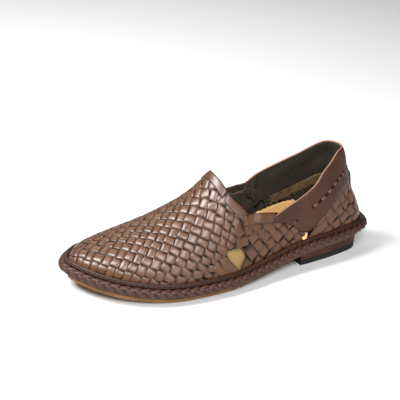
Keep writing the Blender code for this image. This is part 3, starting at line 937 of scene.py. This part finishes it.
def weave_wall(bm, chart, ups, downs, numbers, inside, lift=None):
    """Weaves two sets of straps on a wall; numbers is added to their own in the finish.

    inside and lift are asked about spots of a strap, whether it is one of ups, and its number:
    inside says which spots to keep, and lift adds to the strap's swing.
    """
    for own, others, rising in ((ups, downs, True), (downs, ups, False)):
        lines = {number: line for number, (line, _) in others.items()}
        for number, (line, half) in own.items():
            line, swing = woven(line, crossings(line, lines), number + rising)
            if lift:
                swing = swing + lift(line, rising, number)
            lay_strap(bm, chart, line, half * WALL_SNUG, swing, numbers + number + 20 * rising,
                      lambda spots: inside(spots, rising, number))


def stepped(table, lay=np.array):
    """A table's lines as lay puts them on a chart, evenly stepped, with their half widths."""
    return {number: (even_steps(lay(line), WALL_STEP), half)
            for number, (line, half) in table.items()}


def wall_top(station, side, spare, tuck):
    """The woven wall's height: spare under its edge, or tucked up behind the collar band."""
    return np.where(station > BAND_COVER, shell_top(station, side) - spare,
                    band_edge(station, side) + tuck)


def add_quarters():
    """The side weave: a fan of straps from the vamp and the straps that cross it."""
    bm = bmesh.new()
    for side in (OUTER, INNER):
        chart = Wall(side)

        def lay(line):
            station, height = np.array(line).T
            extra = shell_top(station, side) - shell_top(station, OUTER)
            height = height + extra * smooth((height - 22.0) / 30.0)
            return np.stack([chart.around(station), height], 1)

        def lift(line, fan, number):
            station, height = chart.station(line)
            under = fan * -1.6 * (1 - smooth((vamp_end(height) - station + 1.5) / 3.0))
            if fan and number == LOOP_STRAP:
                under += 2.6 * smooth((151 - station) / 5) * smooth((station - 112) / 6)
            return under

        def inside(spots, fan, number):
            station, height = chart.station(spots)
            if fan and number == LOOP_STRAP:
                return station > LOOP_BACK[side]
            ahead = vamp_end(height) + UNDER_VAMP
            return (station < ahead) & (height < wall_top(station, side, 1.5, 5.0))

        weave_wall(bm, chart, stepped(FAN, lay), stepped(CROSS, lay), 160 + 60 * side, inside,
                   lift)
        for number, (line, half) in stepped(BORDER, lay).items():
            from_end = np.minimum(np.arange(len(line)), np.arange(len(line))[::-1])
            swing = 1.2 - 2.1 * (1 - smooth(from_end / 4.0))
            if number == 1:             # it dips under a strap of the vamp
                swing -= 2.0 * np.exp(-((line[:, 1] - 33.0) / 1.6) ** 2)
            lay_strap(bm, chart, line, half, swing, 150 + number)
    return joined(bm)


def add_counter():
    """The heel's weave, which meets itself under the back strap."""
    bm = bmesh.new()
    for side in (OUTER, INNER):
        chart = Wall(side)

        def inside(spots, *_):
            station, height = chart.station(spots)
            start, stop = COUNTER_SPAN
            around = spots[..., 0]
            under = height < band_edge(station, side) + 5.0
            return (around > start) & (around < stop) & under

        weave_wall(bm, chart, stepped(COUNTER_UP), stepped(COUNTER_DOWN), 200 + 60 * side, inside)
    return joined(bm)


#             station  height: the throat's edge, from the loop strap up to the tongue's tip
THROAT_EDGE = ((140, 56.5), (142.5, 59.6), (145.9, 64.4), (149.4, 68.4), (152.3, 70.9),
               (155.5, 74.4), (157.3, 77.2), (158.7, 80.5), (159.7, 83.5), (160.8, 86.4))
THROAT_TIP, THROAT_FRONT = (161.8, 87.6), 163.5
THROAT_HALF, THROAT_INSET = 3.8, 3.5
THROAT_DIPS = (-23.0, 23.0)         # where a strap of the vamp crosses it, in mm from the tip


def add_throat():
    """The strap bound along the tongue's edge, dipping under a neighbour on each side."""
    chart = Vamp()
    station, height = np.array(THROAT_EDGE).T
    lower = chart.spot(OUTER, station, height)
    upper = chart.spot(INNER, station, height + shell_top(station, INNER)
                       - shell_top(station, OUTER))
    tip = chart.spot(OUTER, *np.array(THROAT_TIP)[:, None]) * (1, 0)        # on the ridge
    line = even_steps(np.concatenate([lower, tip, upper[::-1]]), THROAT_STEP)
    line = line - THROAT_INSET * left_of(line)
    walked = walk(line)
    middle = walked[-1] / 2
    swing = np.full(len(line), 0.7)
    for dip in THROAT_DIPS:
        swing -= 2.3 * np.exp(-((walked - middle - dip) / 1.1) ** 2)
    swing -= 3.0 * smooth((np.abs(walked - middle) - middle + 5) / 5)
    bm = bmesh.new()
    lay_strap(bm, chart, line, THROAT_HALF, swing, 90, bed=0.75, relief=0.55)
    return bm


# ---- the collar ------------------------------------------------------------------------
BAND_END, LINING_END, STRIP_END = 118.0, 107.0, 91.0    # stations of their front ends
COLLAR_ROWS = 130


def collar_sheet(low, high, offset, columns, ahead, inner_face=False):
    """A sheet round the collar between two heights, from front end to front end.

    low and high are functions of station and side; offset, in mm outwards, is one of the
    share of the way up and of station.
    """
    share = np.linspace(0, 1, columns)
    front = float(np.interp(ahead, foot_stations, foot_rows))
    points, outs = [], []
    for row in np.linspace(-front, front, COLLAR_ROWS):
        side = OUTER if row < 0 else INNER
        rows = np.full(columns, abs(row))
        station = float(np.interp(abs(row), foot_rows, foot_stations))
        height = low(station, side) * (1 - share) + high(station, side) * share
        up = rise(side, rows, height)
        out = facing(side, np.clip(rows, 0.02, None), up)
        points.append(last_point(side, rows, up) + out * offset(share, station)[:, None])
        outs.append(out)
    return sheet(np.array(points), -np.array(outs) if inner_face else np.array(outs))


#            station  outer  inner: the band's lower edge where its front is cut to a taper
BAND_FRONT = ((60, 0, 0), (76, 0, 0), (84, 2.2, 1.5), (92, 5, 3.5), (100, 5.8, 4.5),
              (110, 4.8, 4), (118, 3.5, 3))
band_front = edge_line(BAND_FRONT)


def band_edge(station, side):
    """Height of the band's lower edge as it is cut."""
    return band_foot(station, side) + band_front(station, side)


def add_band():
    """The smooth leather band round the collar."""
    return collar_sheet(band_edge, rim,
                        lambda share, station: 2.0 - 0.5 * (1 - smooth(share * 8))
                        - 1.3 * smooth((station - 108) / 10), 16, BAND_END)


#              station  height: the lining's lower edge
LINING_FOOT = ((8, 66), (25, 65.5), (39, 62.5), (51, 56.8), (70, 50.6), (88, 46.8), (106, 44.5),
               (118, 44))


def lining_foot(station, _):
    """Height of the lining's lower edge, which is the same on both sides."""
    return np.interp(station, *np.array(LINING_FOOT).T)


#          station  height: the corners of the opening on each side
DIAMOND = ((153, 36.5), (147.5, 28), (155.5, 17.5), (168.5, 31), (167, 37))
# and the little gap between the quarter's weave and the counter's
GAP = ((79.5, 20), (87, 20), (87, 33), (79.5, 33))


def within(corners, station, height, margin):
    """Whether spots lie inside a convex outline, or within margin of it."""
    spots = np.array(corners)
    middle = spots.mean(axis=0)
    inside = np.ones(np.shape(station), bool)
    for start, end in zip(spots, np.roll(spots, -1, axis=0)):
        normal = np.array([end[1] - start[1], start[0] - end[0]])
        normal /= np.linalg.norm(normal) * np.sign(np.dot(normal, middle - start))
        gap = (station - start[0]) * normal[0] + (height - start[1]) * normal[1]
        inside &= gap > -margin
    return inside


SHADE_SHEET_ROWS, SHADE_SHEET_UPS = 230, 48


def add_shade_sheet():
    """A dark sheet of painted shade in the middle of the weave, which closes its pinholes, but not
    its openings.
    """
    bm = bmesh.new()
    for side in (OUTER, INNER):
        row, up = np.meshgrid(np.linspace(0, LAST_ROW, SHADE_SHEET_ROWS),
                              np.linspace(0, 1, SHADE_SHEET_UPS), indexing="ij")
        points, out = last_point(side, row, up), facing(side, np.clip(row, 0.02, None), up)
        station = feather(side, row)[2]
        depth = np.clip(station / 6.0, 0.0, 1.0)
        made = shape_grid(bm, points - out * depth[..., None], None, out)
        height = points[..., 2]
        open_spot = (height > wall_top(station, side, 3.0, 4.0)) & (station < THROAT_FRONT)
        open_spot |= within(DIAMOND, station, height, 1.6) | within(GAP, station, height, 0.0)
        gone = [made[k] for k in np.flatnonzero(open_spot.ravel())]
        bmesh.ops.delete(bm, geom=gone, context="VERTS")
    return joined(bm)


def add_lining():
    """The collar's lining, from the rim down to its seam."""
    return collar_sheet(lining_foot, lambda station, side: rim(station, side) - 0.5,
                        lambda share, station: -2.9 + 3.1 * smooth((share - 0.30) / 0.35), 14,
                        LINING_END, inner_face=True)


def add_lining_edge():
    """Suede strip that shows below the lining, with an uneven lower edge."""
    return collar_sheet(lambda station, side: lining_foot(station, side) - 8.0
                        + 0.9 * math.sin(station * 0.9) + 0.6 * math.sin(station * 2.3),
                        lambda station, side: lining_foot(station, side) + 2.0,
                        lambda share, station: np.full(len(share), -3.3), 8, STRIP_END,
                        inner_face=True)


def leaf(bm, chart, middle, ahead, length, width, proud, bed, number, steps=7, columns=5):
    """A small crowned lozenge or strand on a chart, its ends turned down into the work.

    It points ahead from its middle, and stands proud of its bed over the chart's face.
    """
    ahead = unit(np.asarray(ahead, float))
    along, across = np.meshgrid(np.linspace(-1, 1, steps), np.linspace(-1, 1, columns),
                                indexing="ij")
    waist = (1 - np.abs(along) ** 3.5) ** 0.5 * 0.82 + 0.18
    spots = (np.asarray(middle) + (along * length / 2)[..., None] * ahead
             + (across * waist * width / 2)[..., None] * left(ahead))
    height = bed + proud * (1 - 0.75 * across ** 2) * (1 - 0.9 * np.abs(along) ** 3)
    height = height - proud * 0.5 * (np.abs(across) > 0.99)
    place, out = chart.place(spots)
    lie = 1 - 0.8 * np.abs(along) ** 3
    marks = np.stack([across, along * length / 2 * MM, np.full_like(along, number), lie], -1)
    shape_grid(bm, place + out * height[..., None], marks, out)


#             station  height: the running lace's path on the collar band
LACE = ((4, 79.8), (12, 79.5), (23, 78), (35, 75), (48, 71), (56, 66), (65, 60.5), (77, 55))
LACE_LENGTH, LACE_WIDTH = 6.0, 2.5
LAST_SLIT, SLIT_AHEAD = (93.5, 46.6), (7.0, -3.0)       # where the lace's end is tucked away


def stitches(line, pitch):
    """Middle and step of each even stitch along a line."""
    line = even_steps(line, pitch)
    return list(zip((line[:-1] + line[1:]) / 2, np.diff(line, axis=0)))


def add_lace(pitch):
    """A thong sewn in running stitches along the collar band, and dark leaves of painted shade for
    the holes at their ends.
    """
    thong, holes = bmesh.new(), bmesh.new()
    station, height = np.array(LACE).T
    for side in (OUTER, INNER):
        chart = Wall(side)
        extra = 0.62 * (rim(station, side) - rim(station, OUTER)) + 0.35 * (
            band_foot(station, side) - band_foot(station, OUTER))
        line = np.stack([chart.around(station), height + extra], 1)
        for k, (middle, step) in enumerate(stitches(line, pitch)):
            leaf(thong, chart, middle, step, LACE_LENGTH, LACE_WIDTH, 0.7, 2.15, 300 + k)
            for end in (-0.5, 0.5):
                leaf(holes, chart, middle + step * end * (LACE_LENGTH + 1.2) / pitch, step, 3.2,
                     LACE_WIDTH * 1.1, 0.1, 2.05, 900, 5, 5)
    wall = Wall(OUTER)
    end = np.array([wall.around(LAST_SLIT[0]), LAST_SLIT[1]])
    # a dark leaf of painted shade for the slit where the lace's end is tucked away
    leaf(holes, wall, end, SLIT_AHEAD, 5.5, 1.5, 0.1, 2.04, 900, 5, 5)
    leaf(thong, wall, end + (1.6, -0.9), SLIT_AHEAD, 2.4, 1.9, 0.5, 2.05, 340)
    return thong, holes


BACK_TOP, BACK_HALF, BACK_ROWS = 79.0, 4.1, 56


def add_back_strap():
    """The dark strap down the heel's back, bowed out over the counter's weave."""
    low = bottom(6.0) + UPPER_FOOT + RAND + CORD - 0.5
    heights, row = np.linspace(low, BACK_TOP, BACK_ROWS), np.zeros(BACK_ROWS)
    up = rise(OUTER, row, heights)
    back = last_point(OUTER, row, up)
    out = unit(facing(OUTER, row + 0.02, up) * (1, 0, 1))
    bow = 2.0 * np.exp(-((heights - 68.0) / 5.5) ** 2)
    stand = 1.5 + 1.9 * smooth((heights - 54.0) / 9.0) + bow - 1.0 * smooth(
        (heights - BACK_TOP + 3.5) / 3.5)
    across, drop = np.array(ACROSS).T
    drop = drop + 0.25 * across ** 2
    half = BACK_HALF * (1 - 0.12 * smooth((heights - 70) / 9))
    points = (back[:, None] + out[:, None] * (stand[:, None] - drop)[..., None]
              + np.array([0.0, 1.0, 0.0]) * (half[:, None] * across)[..., None])
    marks = np.ones((*points.shape[:2], 4))
    marks[..., 0], marks[..., 1], marks[..., 2] = across, (heights * MM)[:, None], 400
    return sheet(points, np.broadcast_to(out[:, None], points.shape), marks)


# ---- the bottom ------------------------------------------------------------------------
ring_rows = np.linspace(0, LOOP_ROWS, 1600)
ring_walk = walk(outline(OUTER, ring_rows, 1.0))
#                inset  height over the upper's foot, before swell
RAND_SECTION = ((3.4, 0.1), (1.9, 0.2), (0.7, 1.0), (0.15, 2.5), (0.7, 4.2), (2.4, 5.4),
                (4.6, 5.9), (6.6, 6.0))
#                inset  height over the cord's seat on the rand
CORD_SECTION = ((7.0, -0.3), (4.8, -0.1), (4.2, 0.35), (4.1, 0.9), (4.4, 1.2), (4.9, 1.25),
                (5.0, 1.3), (4.8, 1.5), (5.0, 1.95), (5.6, 2.4), (6.4, 2.5), (7.4, 2.2),
                (8.6, 1.2))
CORD_SEAT, CORD_GROOVE = RAND + 0.3, 5      # the groove's point of the section


class Rand:
    """A face round the sole as (distance round it, distance along its section), in mm."""

    def __init__(self, section, seat=0.0):
        section = np.array(section) + (0.0, seat)
        self.walk = walk(section)
        self.curve = spline(self.walk, section)
        self.length, self.height = ring_walk[-1], self.walk[-1]

    def place(self, spots):
        """Points at spots of the chart, and the outward directions there."""
        row = np.interp(np.mod(spots[..., 0], self.length), ring_walk, ring_rows)
        v = np.clip(spots[..., 1], 0.01, self.height - 0.01)
        inset, height = np.moveaxis(self.curve(v), -1, 0)
        aside, up = np.moveaxis(self.curve(v + 0.01) - self.curve(v - 0.01), -1, 0)
        edge = outline(OUTER, row)
        inward = outline(OUTER, row, 1.0) - edge
        spot = edge + inset[..., None] * inward
        level = bottom(spot[..., 0]) + UPPER_FOOT + height * swell(spot[..., 0])
        out = np.stack([inward[..., 0] * up, -inward[..., 1] * up, aside], -1)
        return np.stack([LENGTH / 2 - spot[..., 0], spot[..., 1], level], -1), unit(out)


RING_STEPS = 360


def add_ring(chart, columns, sink=0.0):
    """A strip swept right round the sole, its ends merged at the heel's back."""
    around, along = np.meshgrid(np.linspace(0, chart.length, RING_STEPS + 1),
                                np.linspace(0, chart.height, columns), indexing="ij")
    place, out = chart.place(np.stack([around % chart.length, along], -1))
    return joined(sheet(place - sink * out, out))


#            share up  lean  shift in pitches: the braid's two rows of strands
BRAID_ROWS = ((0.70, -0.62, 0.0), (0.34, 0.62, 0.5))


def add_braid(chart, pitch):
    """Two rows of slanted strands that close over each other in a herringbone."""
    count = int(round(chart.length / pitch))
    pitch = chart.length / count
    bm = bmesh.new()
    for k in range(count):
        for row, (height, lean, shift) in enumerate(BRAID_ROWS):
            leaf(bm, chart, ((k + shift) * pitch, chart.height * height), (1.0, lean),
                 pitch * 1.42, 5.2, 0.8, -0.45, 500 + 2 * k + row, 8, 5)
    return bm


def add_holes(chart):
    """Small dark leaves of painted shade for the stitch holes, at even steps along the cord's
    groove.
    """
    bm = bmesh.new()
    around = np.linspace(0, chart.length, 300)
    line = np.stack([around, np.full_like(around, chart.walk[CORD_GROOVE])], 1)
    for k, (middle, step) in enumerate(stitches(line, 4.6)):
        leaf(bm, chart, middle, step, 3.4, 1.3, 0.12, 0.12, 900 + k, 5, 3)
    return bm


INSOLE_ROWS, INSOLE_INSET = 300, 3.4
#                side  column  height: how far the edge is turned up, and from and to where
INSOLE_EDGES = ((INNER, -1, 14.0, 45.0, 122.0), (OUTER, 0, 28.0, 128.0, 186.0))


def add_insole():
    """The insole's plate, turned up along parts of its pinked edge."""
    rows = np.linspace(0.02, LAST_ROW - 0.02, INSOLE_ROWS)
    pinks = 0.9 * np.abs(np.sin(np.arange(INSOLE_ROWS) * 0.75))
    columns = np.linspace(-1, 1, 15)
    outer, inner = (outline(side, rows, UPPER_INSET + INSOLE_INSET) for side in (OUTER, INNER))
    middle, half = (outer + inner) / 2, (inner - outer) / 2
    flat = middle[:, None] + half[:, None] * columns[:, None]
    level = bottom(flat[..., 0]) + UPPER_FOOT + 3.0 + 0.5 * columns ** 4
    points = np.stack([LENGTH / 2 - flat[..., 0], flat[..., 1], level], -1)
    share = np.linspace(0, 1, 7)[1:]
    row = rows[:, None] * np.ones(len(share))
    curls = {}
    for side, edge, high, start, stop in INSOLE_EDGES:
        station = feather(side, rows)[2]
        turned = high * smooth((station - start) / 18) * smooth((stop - station) / 18)
        height = level[:, edge][:, None] + (turned + 1.2 + pinks)[:, None] * share
        up = rise(side, row, height)
        sink = 4.0 + (3.0 * share if side == OUTER else -0.6 * share)
        curls[side] = last_point(side, row, up) - facing(side, row, up) * sink[:, None]
    points = np.concatenate([curls[OUTER][:, ::-1], points, curls[INNER]], 1)
    return joined(sheet(points, np.broadcast_to((0.0, 0.0, 1.0), points.shape)))


def dress(node, look):
    """Gives a kept CAD node its finish."""
    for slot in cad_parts[node].material_slots:
        slot.material = look


# ---- the sidebar's settings ------------------------------------------------------------
def size_field(name, description, default):
    """A length in metres."""
    return FloatProperty(name=name, description=description, default=default, min=0.0,
                         subtype="DISTANCE", unit="LENGTH", precision=4)


def colour_field(name, description, default):
    """A linear colour."""
    return FloatVectorProperty(name=name, description=description, default=default,
                               subtype="COLOR", size=3, min=0.0, max=1.0)


class ShoeSizes(bpy.types.PropertyGroup):
    strap: size_field("Strap thickness", "Leather of the woven straps", 0.0012)
    band: size_field("Band thickness", "Leather of the collar band", 0.0015)
    stitch: size_field("Lace pitch", "From one stitch of the collar's lace to the next", 0.0096)
    strand: size_field("Braid pitch", "From one strand of the braid to the next", 0.0083)


class ShoeColours(bpy.types.PropertyGroup):
    woven: colour_field("Woven leather", "The straps' deep colour", (0.0290, 0.0106, 0.0042))
    # woven_lit is the straps' lighter tone, mixed in at random, and the base of the painted
    # highlight on their crowns
    woven_lit: colour_field("Woven highlights", "The straps' lighter tone and painted highlights",
                            (0.0720, 0.0300, 0.0130))
    band: colour_field("Collar leather", "The collar band's colour", (0.032, 0.0106, 0.0039))
    braid: colour_field("Braid leather", "The braided rand's colour", (0.0215, 0.0082, 0.0041))
    sole: colour_field("Sole edge", "The outsole's tan edge", (0.36, 0.17, 0.06))
    stack: colour_field("Heel stack", "The stacked heel's red-brown", (0.070, 0.0185, 0.0064))
    insole: colour_field("Insole", "The insole's golden tan", (0.62, 0.39, 0.160))
    lining: colour_field("Lining", "The collar's dark olive lining", (0.019, 0.014, 0.008))


def flesh_side(name, colour):
    """The napped inner face of a strap or band, in the lining's tones."""
    return suede(name, shaded(colour, 1.5), shaded(colour, 0.6))


class MakeVamp(bpy.types.Operator):
    """Weave the forepart and bind the tongue's edge"""
    bl_idname = "shoe.vamp"
    bl_label = "Vamp"

    def execute(self, context):
        sizes, colours = context.scene.shoe_sizes, context.scene.shoe_colours
        straps = strap_leather("vamp straps", colours.woven, colours.woven_lit)
        cut = cut_edge("vamp's cut edges", 1.0)
        back = flesh_side("vamp's flesh side", colours.lining)
        finish("vamp_weave", add_vamp(), straps, ["upper"],
               sizes.strap / MM, cut, back)
        edge = strap_leather("edge strap", colours.woven, colours.woven_lit)
        finish("throat_strap", add_throat(), edge, (), sizes.strap / MM, cut)
        return {"FINISHED"}


class MakeSides(bpy.types.Operator):
    """Weave the quarters and the heel's counter"""
    bl_idname = "shoe.sides"
    bl_label = "Quarters and counter"

    def execute(self, context):
        sizes, colours = context.scene.shoe_sizes, context.scene.shoe_colours
        # painted shade: the quarters and counter take a darker, warmer copy of the vamp's strap
        # colours
        shade = tuple(np.multiply(colours.woven, (0.74, 0.68, 0.52)))
        light = tuple(np.multiply(colours.woven_lit, (1.06, 0.96, 0.74)))
        straps = strap_leather("side straps", shade, light, 0.31, 0.40)
        cut = cut_edge("sides' cut edges", 1.0)
        back = flesh_side("sides' flesh side", colours.lining)
        for name, weave in (("quarter_weave", add_quarters()), ("counter_weave", add_counter())):
            finish(name, weave, straps, ["upper"], sizes.strap / MM, cut, back)
        return {"FINISHED"}


class MakeCollar(bpy.types.Operator):
    """Make the collar band, its lace and lining, and the strap down the back"""
    bl_idname = "shoe.collar"
    bl_label = "Collar"

    def execute(self, context):
        sizes, colours = context.scene.shoe_sizes, context.scene.shoe_colours
        hide = smooth_leather("collar leather", colours.band, shaded(colours.band, 1.6))
        finish("collar_band_leather", add_band(), hide, ["collar_band"],
               sizes.band / MM, cut_edge("rim's cut edge", 3.6),
               flesh_side("band's flesh side", colours.lining))
        lace = strap_leather("lace", colours.woven, colours.woven_lit)
        thong, holes = add_lace(sizes.stitch / MM)
        finish("collar_lace", thong, lace, (), 0.7,
               cut_edge("lace's edges", 4.4))
        finish("lace_holes", holes, dark_hollow("lace hole"))
        lining = suede("lining", colours.lining, shaded(colours.lining, 0.5))
        finish("collar_lining", add_lining(), lining, (), 0.6)
        # painted shade: a near-black copy of the strap colour for the sheet that shows in the
        # weave's gaps
        dark = shaded(colours.woven, 0.22)
        deep = smooth_leather("painted shade in the weave", dark, shaded(dark, 1.6), 0.85, 0.04)
        finish("weave_shade_sheet", add_shade_sheet(), deep, (), 0.3)
        finish("lining_strip", add_lining_edge(),
               suede("suede strip", (0.135, 0.088, 0.042), (0.050, 0.030, 0.013)),
               (), 0.5)
        strap = strap_leather("back strap", colours.woven, colours.woven_lit)
        finish("heel_back_strap", add_back_strap(), strap, ["back_strap"], 1.4)
        return {"FINISHED"}


class MakeBottom(bpy.types.Operator):
    """Make the braid, the welt cord, the insole and the sole's finishes"""
    bl_idname = "shoe.bottom"
    bl_label = "Braid and sole"

    def execute(self, context):
        sizes, colours = context.scene.shoe_sizes, context.scene.shoe_colours
        rand, cord = Rand(RAND_SECTION), Rand(CORD_SECTION, CORD_SEAT)
        core = smooth_leather("braid core", (0.020, 0.010, 0.007), (0.035, 0.018, 0.012), 0.6)
        finish("braid_core", add_ring(rand, 14, 0.55), core, ["braided_rand"])
        lit = shaded(colours.braid, 1.8)
        strands = strap_leather("braid strands", colours.braid, lit, 0.42, 0.30)
        finish("braid_strands", add_braid(rand, sizes.strand / MM), strands,
               ["braided_rand"], 0.7)
        leather = smooth_leather("welt cord", colours.braid, lit, 0.4)
        finish("welt_strip", add_ring(cord, 26), leather, ["welt_cord"])
        finish("welt_holes", add_holes(cord), dark_hollow("welt hole"))
        # the insole's outer turned-up part takes painted shade, at 0.44 of the insole's colour
        tan = suede("insole leather", shaded(colours.insole, 1.2), colours.insole, 0.44)
        finish("insole_plate", add_insole(), tan, ["insole"], 1.6)
        dress("outsole", sole_leather("outsole leather", colours.sole,
                                      shaded(colours.sole, 0.45), shank=0.02))
        dress("midsole", sole_leather("midsole leather", (0.10, 0.052, 0.033),
                                      (0.04, 0.020, 0.013)))
        dress("heel_stack", sole_leather("stacked leather", colours.stack,
                                         shaded(colours.stack, 0.4), 0.0045, 0.55))
        dress("heel_top_piece", rubber("heel rubber", (0.006, 0.006, 0.006)))
        return {"FINISHED"}


CAMERA_AZIMUTH, CAMERA_ELEVATION, CAMERA_ROLL = -29.0, 24.5, 3.5        # degrees
CAMERA_DISTANCE, CAMERA_TARGET, LENS = 0.800, (-0.0259, 0.0, 0.0655), 85.9
LIGHT_AIM = (0.0, 0.0, 0.04)


def add_camera():
    """The camera, turned about its target and rolled a little."""
    azimuth, elevation = math.radians(CAMERA_AZIMUTH), math.radians(CAMERA_ELEVATION)
    back = Vector((math.sin(azimuth) * math.cos(elevation),
                   -math.cos(azimuth) * math.cos(elevation), math.sin(elevation)))
    right = Vector((math.cos(azimuth), math.sin(azimuth), 0.0))
    up = back.cross(right)
    roll = math.radians(CAMERA_ROLL)
    across = right * math.cos(roll) + up * math.sin(roll)
    upward = up * math.cos(roll) - right * math.sin(roll)
    lens = bpy.data.cameras.new("camera")
    lens.lens, lens.sensor_width = LENS, 36.0
    lens.clip_start, lens.clip_end = 0.01, 50.0
    camera = bpy.data.objects.new("camera", lens)
    camera.matrix_world = Matrix.Translation(Vector(CAMERA_TARGET) + back * CAMERA_DISTANCE) @ (
        Matrix((across, upward, back)).transposed().to_4x4())
    bpy.context.scene.collection.objects.link(camera)
    bpy.context.scene.camera = camera


def add_light(name, place, size, power):
    """A soft rectangular lamp that faces the shoe."""
    lamp = bpy.data.lights.new(name, "AREA")
    lamp.shape, lamp.energy = "RECTANGLE", power
    lamp.size, lamp.size_y = size
    light = bpy.data.objects.new(name, lamp)
    away = Vector(place) - Vector(LIGHT_AIM)
    facing_shoe = away.to_track_quat("Z", "Y").to_matrix().to_4x4()
    light.matrix_world = Matrix.Translation(place) @ facing_shoe
    bpy.context.scene.collection.objects.link(light)


class MakeStage(bpy.types.Operator):
    """Set up the pale floor, the soft studio light and the camera"""
    bl_idname = "shoe.stage"
    bl_label = "Stage"

    def execute(self, context):
        bm = bmesh.new()
        bmesh.ops.create_grid(bm, x_segments=8, y_segments=8, size=4.0)
        mesh = bpy.data.meshes.new("floor")
        bm.to_mesh(mesh)
        bm.free()
        paper = Look("floor paper", Specular_IOR_Level=0.2)
        fleck = paper.noise(paper.place(), 60.0, 3.0)
        mesh.materials.append(paper.set(
            Base_Color=paper.mix(fleck, (0.62, 0.62, 0.617, 1.0), (0.63, 0.63, 0.627, 1.0)),
            Roughness=0.8 + fleck * 0.1))
        floor = bpy.data.objects.new("floor", mesh)
        context.scene.collection.objects.link(floor)
        world = bpy.data.worlds.new("studio")
        world.use_nodes = True
        sky = world.node_tree.nodes["Background"]
        sky.inputs["Color"].default_value = (1.0, 1.0, 0.995, 1.0)
        sky.inputs["Strength"].default_value = 0.15
        context.scene.world = world
        add_light("key", (-0.80, 0.15, 1.10), (0.50, 0.50), 34.0)
        add_light("front", (-0.35, -1.00, 1.20), (0.80, 0.40), 26.0)
        add_light("low", (0.25, -1.30, 0.45), (0.90, 0.35), 7.5)
        add_light("back", (0.3, 1.1, 1.0), (1.2, 0.5), 5.0)
        context.scene.view_settings.view_transform = "Standard"
        add_camera()
        return {"FINISHED"}


MAKERS = (MakeVamp, MakeSides, MakeCollar, MakeBottom, MakeStage)


class ShoePanel(bpy.types.Panel):
    bl_idname = "VIEW3D_PT_woven_shoe"
    bl_label = "Woven shoe"
    bl_space_type = "VIEW_3D"
    bl_region_type = "UI"
    bl_category = "Woven shoe"

    def draw(self, context):
        for group in (context.scene.shoe_sizes, context.scene.shoe_colours):
            column = self.layout.column(align=True)
            for field in group.__annotations__:
                column.prop(group, field)
        for maker in MAKERS:
            self.layout.operator(maker.bl_idname)


CLASSES = (ShoeSizes, ShoeColours, *MAKERS, ShoePanel)


def register():
    for kind in CLASSES:
        bpy.utils.register_class(kind)
    bpy.types.Scene.shoe_sizes = PointerProperty(type=ShoeSizes)
    bpy.types.Scene.shoe_colours = PointerProperty(type=ShoeColours)


def unregister():
    del bpy.types.Scene.shoe_sizes, bpy.types.Scene.shoe_colours
    for kind in reversed(CLASSES):
        bpy.utils.unregister_class(kind)


def main():
    """Makes every piece in turn."""
    register()
    bpy.ops.shoe.vamp()
    bpy.ops.shoe.sides()
    bpy.ops.shoe.collar()
    bpy.ops.shoe.bottom()
    bpy.ops.shoe.stage()


if __name__ == "__main__":
    main()
